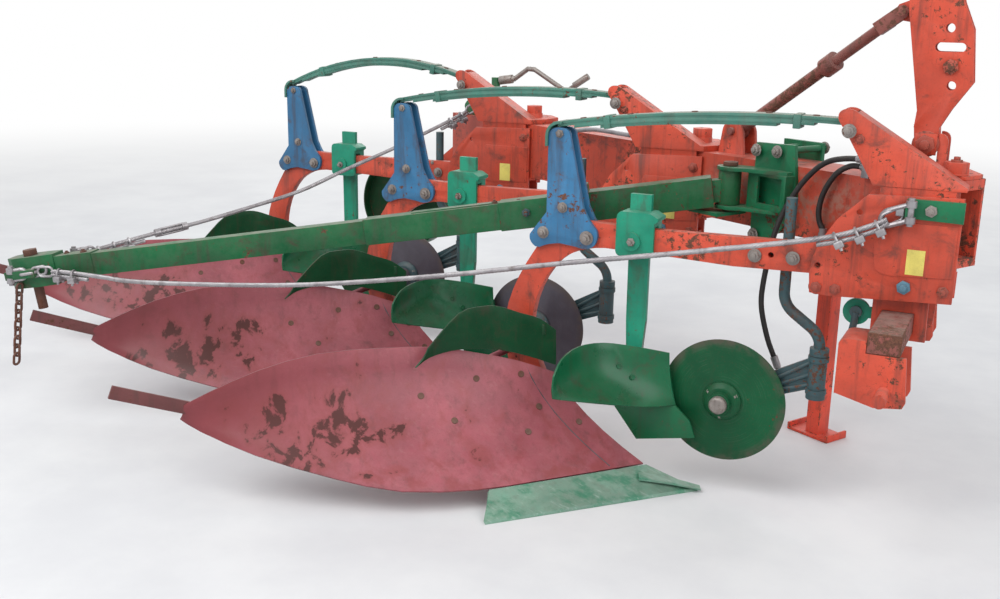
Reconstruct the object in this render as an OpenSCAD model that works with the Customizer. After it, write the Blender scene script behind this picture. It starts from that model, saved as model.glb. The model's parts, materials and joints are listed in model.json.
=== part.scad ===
// Mounted three-furrow plough with leaf-spring trip legs, disc coulters and a furrow-press arm.
// X is the direction of travel, Y points to the land side, Z is up. The shares rest on Z 0.

/* [Bodies] */
// Distance from one body to the next along the direction of travel
step_x = 900; // [750:25:1150]
// Sideways distance from one body to the next, the furrow width
step_y = 495; // [300:5:550]
// Thickness of the mouldboard plate
board_t = 8; // [5:1:12]
// Thickness of the share plate
share_t = 10; // [6:1:16]

/* [Legs] */
// Thickness of the flat leg
leg_t = 35; // [25:1:45]
// Thickness of each spring-arm plate
arm_t = 15; // [8:1:20]
// Width of the leaf spring
spring_w = 60; // [40:2:64]
// Thickness of one spring leaf
leaf_t = 9; // [6:1:14]

/* [Main beam] */
// Width of the main beam
beam_w = 180; // [120:5:220]
// Height of the main beam
beam_h = 226; // [150:2:250]
// Wall of the main beam
beam_wall = 10; // [5:1:16]
// Height of the top face of the main beam
beam_top = 1082; // [1000:2:1150]
// Length of the main beam
beam_len = 2620; // [2400:20:3200]
// Length of the main beam ahead of the first pivot bolt
beam_front = 42; // [30:1:120]
// Place of the brace lugs along the main beam
lug_x = 850; // [820:5:880]
// Radius of the pivot bolts
pivot_r = 22; // [14:1:30]

/* [Linkage] */
// Distance between the two lower hitch points
link_span = 965; // [825:1:965]
// Radius of the lower link pins
link_r = 18.25; // [14:0.25:18.5]
// Radius of the top link holes
top_r = 13; // [9.5:0.5:16]
// Width of the cross bar
bar_w = 92; // [60:2:110]
// Height of the cross bar
bar_h = 62; // [40:2:80]

/* [Coulters and skimmers] */
// Radius of the coulter discs
disc_r = 206; // [180:2:255]
// Thickness of the coulter discs
disc_t = 5; // [3:0.5:8]
// Radius of the coulter stem
stem_r = 17.5; // [14:0.5:22]

/* [Stand and wheel] */
// Side of the stand tube
stand_w = 60; // [40:2:70]
// Radius of the depth wheel
wheel_r = 243; // [200:1:300]
// Width of the depth wheel
wheel_w = 120; // [80:5:180]

/* [Press arm] */
// Height of the outer tube of the press arm
press_h = 100; // [70:5:120]
// Width of the outer tube of the press arm
press_w = 80; // [60:5:100]
// Length of the outer tube of the press arm
shell_run = 730; // [500:10:1200]
// Length of the middle tube of the press arm beyond the outer one
middle_run = 490; // [200:10:900]
// Radius of the stay ropes
rope_r = 8; // [5:0.5:12]

/* [Hidden] */
$fn = 48;

seat = 0.3;
centre = [8, -163];
beam_turn = 180 - atan2(step_y, step_x);
beam_low = beam_top - beam_h;
pivot = [1093, 90];
head_y = 38;
head_t = 12;
mid_y = 165;

function bez(a, b, c, n = 6) = [for (i = [0 : n]) let (t = i / n) (1 - t) * (1 - t) * a + 2 * t * (1 - t) * b + t * t * c];
function cr(a, b, c, d, t) = 0.5 * (2 * b + (c - a) * t + (2 * a - 5 * b + 4 * c - d) * t * t + (3 * b - a - 3 * c + d) * t * t * t);
function pick(v, i) = v[max(0, min(len(v) - 1, i))];
function smooth(v, n) = [for (i = [0 : len(v) - 2]) for (j = [0 : n - 1]) cr(pick(v, i - 1), v[i], v[i + 1], pick(v, i + 2), j / n), v[len(v) - 1]];

module on(k) {
  translate([(2 - k) * step_x - centre.x, -(2 - k) * step_y - centre.y, 0]) children();
}

module on_beam() {
  on(1) translate([pivot.x, pivot.y, 0]) rotate([0, 0, beam_turn]) children();
}

module slab(y0, y1) {
  translate([0, y1, 0]) rotate([90, 0, 0]) linear_extrude(y1 - y0) children();
}

module pin_y(x, z, r, y0, y1) {
  translate([x, y0, z]) rotate([-90, 0, 0]) cylinder(r = r, h = y1 - y0);
}

module rod(a, b, r) {
  d = b - a;
  translate(a) rotate([0, acos(d.z / norm(d)), atan2(d.y, d.x)]) cylinder(r = r, h = norm(d));
}

// A rope laid along a route; side is a direction that the route never takes
module rope(pts, r, side = [0, 0, 1], sides = 8) {
  n = len(pts);
  ring = [for (i = [0 : n - 1])
    let (t = pick(pts, i + 1) - pick(pts, i - 1), a = cross(t, side), u = a / norm(a), b = cross(u, t), v = b / norm(b))
    for (j = [0 : sides - 1]) pts[i] + r * (cos(j * 360 / sides) * u + sin(j * 360 / sides) * v)];
  skin = [for (i = [0 : n - 2]) for (j = [0 : sides - 1])
    let (a = i * sides + j, b = i * sides + (j + 1) % sides) each [[a, b, b + sides], [a, b + sides, a + sides]]];
  ends = [for (j = [1 : sides - 2]) each [[0, j + 1, j], [(n - 1) * sides, (n - 1) * sides + j, (n - 1) * sides + j + 1]]];
  polyhedron(ring, concat(skin, ends), convexity = 6);
}

// A curved plate: rows of points on its face, each row from foot to top, thickened behind the face
function smooth_rows(rows, n, m) = let (wide = [for (row = rows) smooth(row, m)], cols = [for (j = [0 : len(wide[0]) - 1]) smooth([for (row = wide) row[j]], n)])
  [for (i = [0 : len(cols[0]) - 1]) [for (c = cols) c[i]]];

module plate(rows, t) {
  n = len(rows);
  m = len(rows[0]);
  k = n * m;
  face = [for (row = rows) each row];
  back = [for (i = [0 : n - 1]) for (j = [0 : m - 1])
    let (u = pick(rows, i + 1)[j] - pick(rows, i - 1)[j], v = pick(rows[i], j + 1) - pick(rows[i], j - 1), w = cross(u, v))
    rows[i][j] + w / norm(w) * t];
  function quad(a, b, c, d) = [[a, b, c], [a, c, d]];
  faces = concat(
    [for (i = [0 : n - 2]) for (j = [0 : m - 2]) let (a = i * m + j) each
      concat(quad(a, a + m, a + m + 1, a + 1), quad(k + a, k + a + 1, k + a + m + 1, k + a + m))],
    [for (i = [0 : n - 2]) let (a = i * m, b = i * m + m - 1) each
      concat(quad(a, k + a, k + a + m, a + m), quad(b, b + m, k + b + m, k + b))],
    [for (j = [0 : m - 2]) let (a = j, b = k - m + j) each
      concat(quad(a, a + 1, k + a + 1, k + a), quad(b, k + b, k + b + 1, b + 1))]);
  polyhedron(concat(face, back), faces, convexity = 6);
}

// A flat bar between two points, w wide and h high
module bar(a, b, w, h) {
  d = b - a;
  translate(a) rotate([0, -atan2(d.z, norm([d.x, d.y])), atan2(d.y, d.x)]) translate([0, -w / 2, -h / 2]) cube([norm(d), w, h]);
}

// Main beam

module beam_holes() {
  for (k = [0 : 2]) translate([k * norm([step_x, step_y]), 0, beam_low - 1]) cylinder(r = pivot_r + 0.4, h = beam_h + 2);
}

lug_z = beam_top + 78;
saddle_t = 20;
foot_t = 14;

module main_beam() color("orangered") on_beam() difference() {
  union() {
    difference() {
      translate([-beam_front, -beam_w / 2, beam_low]) cube([beam_len, beam_w, beam_h]);
      translate([-beam_front - 1, -beam_w / 2 + beam_wall, beam_low + beam_wall]) cube([beam_len - 9, beam_w - 2 * beam_wall, beam_h - 2 * beam_wall]);
    }
    translate([lug_x, 0, 0]) for (s = [-1, 1]) slab(s * 31 - 6, s * 31 + 6)
      polygon(concat([[-58, beam_top - 1], [58, beam_top - 1]], bez([45, beam_top + 78], [40, beam_top + 110], [0, beam_top + 110]), bez([0, beam_top + 110], [-40, beam_top + 110], [-48, beam_top + 78])));
  }
  beam_holes();
  pin_y(lug_x, lug_z, 13.3, -60, 60);
}

// Heads that carry the legs and the upper ends of the leaf springs

head_edge = [[1136, 1066], [877, 1057], [794, 975], [754, 909], [734, 855], [728, 807], [733, 746], [786, 742], [1134, 760]];
head_far = [[930, 1073], [877, 1057], [794, 975], [754, 909], [734, 855], [728, 807], [733, 746], [786, 742], [1134, 760], [1134, 838], [930, 838]];
saddle_edge = [[905, -40], [1138, -40], [1178, 20], [1190, 130], [1120, 215], [1000, 235], [880, 120], [905, 42]];
panel_edge = concat([[930, 985]], bez([905, 955], [905, 900], [913, 850]), bez([913, 850], [920, 826], [965, 826]), [[1128, 836], [1128, 985]]);
horn = concat([[884, beam_top + 1], [806, 1213]], bez([772, 1262], [762, 1290], [788, 1297]), bez([800, 1297], [812, 1296], [826, 1286]), [[1138, 1094], [1138, beam_top + 1]]);
horn_hollow = [[700, 1060], [700, 1350], [820, 1350], [822, 1252], [1100, 1095], [1100, 1060]];
tail_pin = [856, 842];

// Ahead of the open front end of the main beam
module front_cut() {
  translate(pivot) rotate(beam_turn) translate([-400 - beam_front, -300]) square([400, 600]);
}

module saddle(first) difference() {
  polygon(saddle_edge);
  if (first) front_cut();
}

module head_body(first) {
  spacer = 38 - saddle_t - (first ? 3 * seat + hitch_t : 0);
  difference() {
    union() {
      slab(-head_y - head_t, -head_y) polygon(head_edge);
      slab(head_y, head_y + head_t) polygon(head_far);
      slab(-head_y - head_t - 4, -head_y - 2) polygon(panel_edge);
      slab(-head_y - 2, -26) polygon([[905, beam_low - 10], [1112, beam_low - 10], [1112, beam_top + 10], [905, beam_top + 10]]);
      translate([0, 0, beam_low - seat - foot_t]) linear_extrude(foot_t) saddle(first);
      translate([0, 0, beam_top + seat]) linear_extrude(saddle_t) saddle(first);
      difference() {
        slab(-42, 42) polygon(horn);
        slab(-spring_w / 2 - 2, spring_w / 2 + 2) polygon(horn_hollow);
      }
      pin_y(tail_pin.x, tail_pin.y, 20, -head_y - 1, head_y + 1);
      slab(-head_y - 1, head_y + 1) polygon([[1020, 765], [1128, 770], [1128, 790], [1020, 785]]);
      pin_y(806, 1236, 12, -66, 66);
    }
    for (p = [[857, 1003], [751, 832]]) pin_y(p.x, p.y, 9, -60, 60);
  }
  translate([pivot.x, pivot.y, 0]) {
    translate([0, 0, beam_low - 40]) cylinder(r = pivot_r, h = beam_h + 84);
    translate([0, 0, beam_low - 40]) cylinder(r = 36, h = 27, $fn = 6);
    translate([0, 0, beam_top + 38]) cylinder(r = 36, h = 32, $fn = 6);
    translate([0, 0, beam_top + 38 - spacer]) cylinder(r = 36, h = spacer);
  }
}

module head(k) color("orangered") on(k) head_body(k == 1);

// Legs

leg_edge = concat(
  [[221, 880]],
  bez([-20, 884], [-150, 884], [-187, 779]),
  bez([-187, 779], [-300, 610], [-302, 480]),
  bez([-302, 480], [-300, 300], [-150, 150]),
  bez([-20, 150], [-190, 340], [-200, 500]),
  bez([-200, 500], [-190, 650], [-100, 742]),
  bez([-100, 742], [-40, 795], [60, 802]),
  [[303, 797], [487, 791], [722, 798], [850, 805]],
  bez([850, 805], [892, 805], [892, 842]),
  bez([892, 842], [892, 878], [856, 878]),
  [[743, 890], [553, 886]]);

module leg(k) color("tomato") on(k) slab(-leg_t / 2, leg_t / 2) difference() {
  polygon(leg_edge);
  translate(tail_pin) circle(r = 20.3);
  for (p = [[751, 832], [603, 840]]) translate(p) circle(r = 9);
  for (p = [[554, 834], [671, 838]]) translate(p) circle(r = 10.3);
  translate([0, 832]) circle(r = 14.3);
  translate([-158, 835]) circle(r = 12.3);
}

// Spring arms either side of each leg

arm_edge = concat(
  [[-148, 1160]], bez([-148, 1160], [-146, 1188], [-108, 1188]), bez([-108, 1188], [-72, 1188], [-71, 1160]),
  [[-17, 930], [5, 889]], bez([30, 862], [44, 838], [26, 808]), bez([26, 808], [6, 786], [-40, 798]),
  bez([-95, 804], [-140, 800], [-170, 783]), bez([-186, 784], [-212, 800], [-207, 825]), [[-148, 905]]);
eye = [-108, 1168];

module spring_arm() {
  for (s = [0, 1]) slab(s * (leg_t + 2 * seat + arm_t) - leg_t / 2 - seat - arm_t, s * (leg_t + 2 * seat + arm_t) - leg_t / 2 - seat) polygon(arm_edge);
  pin_y(0, 832, 14, -44, 44);
  pin_y(-158, 835, 12, -40, 40);
  pin_y(-89, 926, 10, -42, 42);
  pin_y(eye.x, eye.y, 12, -33, 33);
}

module spring_arms() color("steelblue") for (k = [1 : 3]) on(k) spring_arm();

// Leaf springs

arches = [104, 144, 400];
function spring_z(x, arch) = 1204 + 62 * (x + 135) / 950 + arch * (x + 135) / 950 * (815 - x) / 950;
function leaf(x0, x1, d0, d1, arch, n = 16) = concat(
  [for (i = [0 : n]) let (x = x0 + (x1 - x0) * i / n) [x, spring_z(x, arch) - d0]],
  [for (i = [n : -1 : 0]) let (x = x0 + (x1 - x0) * i / n) [x, spring_z(x, arch) - d1]]);
// Each leaf: rear end, front end, width
leaves = [[-135, 815, spring_w], [-118, 806, spring_w - 3], [-60, 700, spring_w - 2], [30, 590, spring_w - 4]];
hook_r = 40.3;

// The top leaf ends in a hook that wraps over the spring arms
module leaf_spring(arch) {
  for (i = [0 : 3]) slab(-leaves[i].z / 2, leaves[i].z / 2)
    polygon(leaf(leaves[i].x, leaves[i].y, i * leaf_t, i * leaf_t + leaf_t + (i < 3 ? 0.2 : 0), arch));
  slab(-40, 40) translate([eye.x, spring_z(eye.x, arch) - hook_r - leaf_t]) polygon(concat(
    [for (a = [80 : 10 : 180]) (hook_r + leaf_t) * [cos(a), sin(a)]], [[-hook_r - leaf_t, -34], [-hook_r, -34]],
    [for (a = [180 : -10 : 80]) hook_r * [cos(a), sin(a)]]));
}

module leaf_springs() color("seagreen") for (k = [1 : 3]) on(k) leaf_spring(arches[k - 1]);

// Mouldboards: foot, top and the share of the sweep kept at mid height
board = [
  [[226, 0, 66], [-112, 0, 338], 0.25],
  [[91, -158, 65], [-215, -95, 392], 0.16],
  [[-36, -306, 65], [-330, -200, 432], 0.08],
  [[-169, -462, 69], [-429, -289, 458], 0.02],
  [[-363, -615, 82], [-560, -408, 467], 0],
  [[-565, -705, 120], [-720, -553, 461], 0],
  [[-800, -785, 178], [-860, -681, 418], 0],
  [[-985, -820, 232], [-972, -790, 358], 0],
  [[-1060, -832, 266], [-1036, -838, 318], 0]];
function rise(s, t) = let (a = s[0], c = s[1], f = s[2], b = [c.x + (a.x - c.x) * f, c.y + (a.y - c.y) * f, (a.z + c.z) / 2])
  (1 - t) * (1 - t) * a + 2 * t * (1 - t) * b + t * t * c;
function board_rows(n, m) = let (lines = [for (j = [0 : m]) smooth([for (s = board) rise(s, j / m)], n)])
  [for (i = [0 : len(lines[0]) - 1]) [for (j = [0 : m]) lines[j][i]]];

module mouldboard(k) color("indianred") on(k) {
  plate(board_rows(2, 6), board_t);
  slab(-30, -leg_t / 2 - seat) polygon([[83, 130], [-14, 199], [-89, 268], [-142, 335], [-240, 340], [-200, 250], [-130, 160], [-60, 130]]);
  slab(-30, -leg_t / 2 - seat) polygon([[-292, 400], [-212, 400], [-208, 460], [-296, 460]]);
  rod([-270, -26, 410], [-404, -287, 342], 12);
  bar([-857, -699, 290], [-1034, -819, 304], 10, 42);
  bar([-1028, -812, 302], [-1158, -1020, 400], 10, 42);
}

// Trashboards
trash = [
  [[-106, -6, 352], [-112, 4, 414], [-117, 9, 474]],
  [[-180, -76, 392], [-172, -52, 465], [-160, -36, 520]],
  [[-254, -151, 424], [-235, -118, 500], [-210, -89, 546]],
  [[-320, -228, 438], [-290, -180, 520], [-262, -142, 574]],
  [[-368, -290, 440], [-330, -236, 520], [-300, -188, 580]],
  [[-411, -356, 428], [-380, -306, 500], [-352, -264, 565]],
  [[-435, -403, 402], [-420, -380, 430], [-412, -364, 462]]];

module trashboards() color("darkgreen") for (k = [1 : 3]) on(k) {
  translate([0, 0, 14]) plate(smooth_rows(trash, 3, 2), 6);
  slab(-30, -leg_t / 2 - seat) polygon([[-296, 470], [-206, 470], [-143, 478], [-146, 510], [-210, 520], [-298, 520]]);
}

// Shares
module share() {
  slab(-34, leg_t / 2) polygon([[150, 10], [318, 10], [300, 24], [228, 46], [150, 46]]);
  polyhedron(
  [[418, 14, 0], [-98, -552, 0], [-146, -442, 55], [232, 2, 54], [410, 14, share_t], [-104, -552, share_t], [-142, -438, 58 + share_t / 2], [236, 2, 58 + share_t / 2]],
  [[0, 3, 2], [0, 2, 1], [4, 5, 6], [4, 6, 7], [0, 1, 5], [0, 5, 4], [1, 2, 6], [1, 6, 5], [2, 3, 7], [2, 7, 6], [3, 0, 4], [3, 4, 7]]);
}

module shares() color("palegreen") for (k = [1 : 3]) on(k) share();

// Frogs with landsides
module frog() {
  slab(leg_t / 2 + seat, 30) polygon([[-420, 14], [190, 14], [140, 60], [-30, 170], [-150, 310], [-200, 430], [-290, 430], [-300, 300], [-420, 110]]);
  slab(30, 42) polygon([[-460, 10], [220, 10], [130, 50], [20, 120], [-460, 120]]);
}

module frogs() color("firebrick") for (k = [1 : 3]) on(k) frog();

// Skimmers with their clamps
skim = [
  [[329, -6, 297], [305, -6, 385], [297, -6, 473]],
  [[255, -90, 305], [206, -56, 390], [190, -40, 488]],
  [[178, -171, 325], [116, -110, 400], [95, -85, 499]],
  [[100, -255, 348], [58, -190, 415], [42, -170, 500]],
  [[50, -310, 362], [30, -280, 420], [25, -265, 482]],
  [[26, -336, 369], [22, -330, 400], [24, -325, 440]]];

clamp_edge = concat(bez([100, 806], [100, 784], [122, 784]), bez([206, 784], [228, 784], [228, 806]), [[228, 900], [240, 908], [240, 918], [214, 932]],
  bez([122, 932], [100, 932], [100, 908]));

module skimmer(k) color("limegreen") on(k) {
  far = leg_t / 2 + seat;
  difference() {
    slab(-far - 13, far + 33) polygon(clamp_edge);
    slab(-far, far) polygon([[90, 795], [250, 795], [250, 888], [90, 888]]);
    slab(-far - 20, -far + 1) polygon([[0, 784], [0, 700], [300, 700], [300, 784]]);
  }
  pin_y(157, 837, 11, -far - 26, -far - 12);
  slab(far, far + 20) polygon([[128, 985], [200, 985], [200, 560], [190, 440], [160, 400], [140, 400], [132, 560]]);
  plate(smooth_rows(skim, 3, 3), 6);
  slab(-10, 4) polygon([[262, 240], [322, 262], [322, 300], [300, 420], [186, 470], [150, 440], [150, 405]]);
  slab(0, far + 1) polygon([[248, 261], [248, 442], [186, 470], [150, 440], [150, 405]]);
  slab(-14, -6) polygon([[116, 259], [329, 297], [380, 253], [401, 197], [200, 155]]);
}

// Coulter stems
swing = [764, 52];
stem_top = [640, 52, 1012];
stem_turn = 55;
stem_bend = 80;

module coulter_stem() {
  shift = swing.x - stem_top.x;
  slope = (shift - 2 * stem_bend * (1 - cos(stem_turn))) / sin(stem_turn);
  low = 545;
  high = low + 2 * stem_bend * sin(stem_turn) + slope * cos(stem_turn);
  translate([swing.x, swing.y, 378]) cylinder(r = stem_r, h = low - 378);
  translate([stem_top.x, stem_top.y, high]) cylinder(r = stem_r, h = stem_top.z - high);
  translate([swing.x - stem_bend, swing.y, low]) rotate([90, 0, 0]) rotate([0, 0, -3]) rotate_extrude(angle = stem_turn + 6) translate([stem_bend, 0]) circle(r = stem_r - 0.2);
  translate([stem_top.x + stem_bend, stem_top.y, high]) rotate([90, 0, 0]) rotate([0, 0, 177]) rotate_extrude(angle = stem_turn + 6) translate([stem_bend, 0]) circle(r = stem_r - 0.2);
  translate([swing.x - stem_bend * (1 - cos(stem_turn)), swing.y, low + stem_bend * sin(stem_turn)]) rotate([0, -stem_turn, 0]) cylinder(r = stem_r, h = slope);
  translate([swing.x, swing.y, 524]) cylinder(r = 30, h = 22);
  translate([swing.x, swing.y, 380]) cylinder(r = 30, h = 16);
  slab(leg_t / 2 + seat, 52) polygon([[590, 812], [690, 812], [690, 872], [590, 872]]);
  slab(leg_t / 2 + seat, 30) polygon([[530, 808], [692, 808], [692, 868], [530, 868]]);
  for (p = [[554, 834], [671, 838]]) pin_y(p.x, p.y, 10, -leg_t / 2 - 10, 30);
}

module coulter_stems() color("slategray") for (k = [1 : 3]) on(k) coulter_stem();

hub = [474, 329];

module coulter_arm(k) color("dimgray") on(k) {
  difference() {
    union() {
      translate([swing.x, swing.y, 397]) cylinder(r = 28, h = 126);
      slab(60, 72) polygon([[764, 522], [764, 500], [hub.x + 40, 345], [764, 430], [764, 400], [732, 400], [hub.x, 300], [hub.x - 28, 330], [hub.x, 362]]);
    }
    translate([swing.x, swing.y, 396]) cylinder(r = stem_r + seat, h = 128);
  }
  pin_y(hub.x, hub.y, 15, -4, 61);
}

module coulter_disc(k) color(k == 1 ? "green" : "silver") on(k) difference() {
  union() {
    pin_y(hub.x, hub.y, disc_r, 28, 28 + disc_t);
    pin_y(hub.x, hub.y, 46, 33, 58);
    pin_y(hub.x, hub.y, 52, 14, 29);
    pin_y(hub.x, hub.y, 36, -18, 15);
  }
  pin_y(hub.x, hub.y, 15.1, -6, 60);
}

// Mast, brace and linkage
mast_low = [1000, 1195];

bar_mid = [988, 678];
hitch_t = 12;
hitch_edge = [[1010, 100], [1060, 62], [1150, 60], [1165, 150], [1125, 247], [1000, 260], [985, 180]];

module bar_hole() {
  translate([bar_mid.x - bar_w / 2 - seat, bar_mid.y - bar_h / 2 - seat]) square([bar_w + 2 * seat, bar_h + 2 * seat]);
}

module headstock() color("orangered") on(1) {
  translate([0, 0, beam_top + saddle_t + 2 * seat]) linear_extrude(hitch_t) difference() {
    polygon(hitch_edge);
    front_cut();
    translate(pivot) circle(r = pivot_r + seat);
  }
  for (s = [-1, 1]) translate([0, mid_y + s * 44, 0]) slab(-7, 7)
    polygon(concat([[1034.3, beam_top + 32], [1062, beam_top + 32], [1062, 1200]], bez([1062, 1200], [1062, 1228], [1034.3, 1228])));
  slab(-7, 7) difference() {
    polygon([[914, 750], [1018, 750], [1020, 764.7], [1070, 767], [1072, 625], [914, 625]]);
    bar_hole();
  }
  slab(mid_y + 50, mid_y + 64) difference() {
    polygon([[914, beam_low - foot_t - 2 * seat], [1084, beam_low - foot_t - 2 * seat], [1072, 625], [914, 625]]);
    bar_hole();
  }
}

brace_pin = [891, 1570];
brace_rise = 37.1;
ear_edge = [[930, 1540], [880, 1548], [868, 1570], [880, 1592], [925, 1610]];
mast_edge = [[960, 1240], [964, 1290], [912, 1575], [905, 1700], [1030, 1700], [1060, 1600], [1093, 1526], [1109, 1375], [1058, 1295], [1030, 1240]];

module mast() color("orangered") on(1) translate([0, mid_y, 0]) {
  difference() {
    union() {
      for (s = [-1, 1]) slab(s * 30 - 6, s * 30 + 6) polygon(mast_edge);
      slab(-30, 30) polygon([[962, 1280], [964, 1290], [912, 1575], [908, 1640], [922, 1640], [928, 1575], [985, 1280]]);
      slab(-12, 12) polygon(ear_edge);
      slab(-36, 36) polygon([[966, 1195], [960, 1250], [1030, 1250], [1034, 1195]]);
      pin_y(mast_low.x, mast_low.y, 34, -50, 50);
      slab(-58, -49) translate([mast_low.x - 31, mast_low.y - 31]) square(62);
    }
    for (p = [[1030, 1528], [1043, 1419], [1050, 1365]]) pin_y(p.x, p.y, top_r, -40, 40);
    for (x = [1007, 1065]) pin_y(x, 1474, top_r, -40, 40);
    slab(-40, 40) translate([1007, 1474 - top_r]) square([58, 2 * top_r]);
    pin_y(brace_pin.x, brace_pin.y, 12.3, -40, 40);
  }
  pin_y(mast_low.x, mast_low.y, 16, -70, 62);
}

brace_low = [pivot.x + lug_x * cos(beam_turn), pivot.y + lug_x * sin(beam_turn), lug_z];
brace_top = [brace_pin.x, mid_y, brace_pin.y];

module mast_brace() color("saddlebrown") {
  u = (brace_top - brace_low) / norm(brace_top - brace_low);
  on(1) {
    rod(brace_low + u * 20, brace_low + u * 455, 20);
    rod(brace_low + u * 430, brace_low + u * 480, 32);
    rod(brace_low + u * 440, brace_top - u * 60, 17);
    translate([0, mid_y, 0]) {
      for (s = [-1, 1]) slab(s * 18.2 - 5.7, s * 18.2 + 5.7) translate(brace_pin) rotate(brace_rise) {
        circle(r = 20);
        translate([-70, -20]) square([70, 40]);
      }
      slab(-23.9, 46) translate(brace_pin) rotate(brace_rise) translate([-85, -20]) square([45, 40]);
      pin_y(brace_pin.x, brace_pin.y, 12, -38, 38);
    }
  }
  on_beam() pin_y(lug_x, lug_z, 28, -24, 24);
  on_beam() pin_y(lug_x, lug_z, 13, -50, 50);
}

link_out = 40;
module cross_bar() color("sienna") on(1) {
  translate([bar_mid.x - bar_w / 2, mid_y - link_span / 2 + link_out, bar_mid.y - bar_h / 2]) cube([bar_w, link_span - 2 * link_out, bar_h]);
}

link_axis = [1000, 540];
cheek_edge = [[867, 668], [870, 519], [977, 492], [1053, 502], [1060, 518], [1050, bar_mid.y - bar_h / 2 - seat],
  [bar_mid.x - bar_w / 2 - seat, bar_mid.y - bar_h / 2 - seat], [bar_mid.x - bar_w / 2 - seat, 668]];

module link_pins() color("orangered") on(1) for (s = [0, 1]) translate([0, mid_y, 0]) mirror([0, s, 0]) translate([0, -link_span / 2, 0]) {
  for (y = [link_out, link_out + 120]) slab(y, y + 16) polygon(cheek_edge);
  slab(link_out, link_out + 136) polygon([[867, 519], [881, 519], [881, 667], [bar_mid.x - bar_w / 2 - seat, 667],
    [bar_mid.x - bar_w / 2 - seat, 682], [890, 682], [874, 677], [867, 668]]);
  difference() {
    pin_y(link_axis.x, link_axis.y, link_r, -50, link_out + 150);
    translate([link_axis.x, -42, link_axis.y - 20]) cylinder(r = 5, h = 40);
  }
}

// Stand
stand_at = [682, -366];
sleeve_w = stand_w + 16;

module stand_sleeve() color("red") on_beam() {
  translate([stand_at.x, stand_at.y, 0]) difference() {
    translate([-sleeve_w / 2, -sleeve_w / 2, 700]) cube([sleeve_w, sleeve_w, 245]);
    translate([-stand_w / 2 - 1, -stand_w / 2 - 1, 690]) cube([stand_w + 2, stand_w + 2, 270]);
  }
  translate([0, 0, 880]) linear_extrude(60) polygon([[735, -beam_w / 2 - seat], [800, -beam_w / 2 - seat], [719, -333], [690, -332]]);
}

// The foot is a plate with its two long edges folded up
module stand_leg() color("red") on_beam() translate([stand_at.x, stand_at.y, 0]) {
  difference() {
    translate([-stand_w / 2, -stand_w / 2, 6]) cube([stand_w, stand_w, 954]);
    translate([-stand_w / 2 + 5, -stand_w / 2 + 5, 20]) cube([stand_w - 10, stand_w - 10, 950]);
  }
  translate([-87, -66, 0]) cube([190, 115, 10]);
  for (x = [-87, 93]) translate([x, -66, 0]) cube([10, 115, 28]);
}

// Depth wheel
axle = [-792, 1150, 558];

module depth_wheel() color("darkgreen") on(2) difference() {
  union() {
    difference() {
      pin_y(axle.x, axle.z, wheel_r, axle.y - wheel_w / 2, axle.y + wheel_w / 2);
      pin_y(axle.x, axle.z, wheel_r - 8, axle.y - wheel_w / 2 - 1, axle.y + wheel_w / 2 + 1);
    }
    pin_y(axle.x, axle.z, wheel_r - 4, axle.y - 5, axle.y + 5);
    pin_y(axle.x, axle.z, 40, axle.y - 50, axle.y + 40);
  }
  pin_y(axle.x, axle.z, 18.5, axle.y - 51, axle.y + 20);
}

module wheel_arm() color("orangered") {
  on(2) pin_y(axle.x, axle.z, 18, axle.y - 90, axle.y + 15);
  on(2) slab(axle.y - 100, axle.y - 80) polygon([[-812, 530], [-770, 525], [-250, 940], [-215, 960], [-215, 1020], [-300, 1020], [-830, 580]]);
  on_beam() {
    translate([beam_len - beam_front + seat, -230, beam_low + 20]) cube([14, 310, beam_h - 40]);
    translate([beam_len - beam_front + seat, -225, 940]) cube([110, 60, 60]);
  }
}

// Spindle post and casing on the rear of the main beam, with the crank that sets the wheel
post = [-1010, 1304];
casing_foot = [2430, 30];

module wheel_spindle() color("green") {
  on(1) translate([post.x, post.y, beam_top + seat]) {
    translate([-30, -30, 0]) cube([60, 60, 12]);
    cylinder(r = 20, h = 168);
  }
  on_beam() difference() {
    rod([casing_foot.x, casing_foot.y, beam_top - 6], [casing_foot.x + 77, casing_foot.y, beam_top + 45], 38);
    rod([casing_foot.x + 30, casing_foot.y, beam_top + 14], [casing_foot.x + 90, casing_foot.y, beam_top + 54], 29);
    translate([casing_foot.x - 100, casing_foot.y - 50, beam_top - 99 + seat]) cube([200, 100, 99]);
  }
}

module wheel_crank() color("silver") on(1) {
  rod([-987.5, post.y, 1238], [-925, post.y, 1247], 20);
  rod([-940, post.y, 1245], [-912, post.y, 1249], 13);
  rod([-912, post.y, 1249], [-846, post.y, 1296], 11);
  rod([-850, post.y, 1296], [-815, post.y, 1294], 11);
  rod([-817, post.y, 1296], [-655, post.y, 1203], 11);
  rod([-660, post.y, 1200], [-553, post.y, 1272], 9);
  rod([-616, post.y, 1230], [-550, post.y, 1274], 15);
}

// Press arm
press_foot = [380, 290, 985];
press_tip = [-2126, -521, 559];
press_run = norm(press_tip - press_foot);
press_end = 2590;
swivel = [721, 168];
shell_wall = 8;
middle_wall = 4;

module along_press() {
  d = press_tip - press_foot;
  on(1) translate(press_foot) rotate([0, -atan2(d.z, norm([d.x, d.y])), atan2(d.y, d.x)]) children();
}

// A box round the axis of the press arm
module press_box(x0, x1, w, h) {
  translate([x0, -w / 2, -h / 2]) cube([x1 - x0, w, h]);
}

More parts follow.
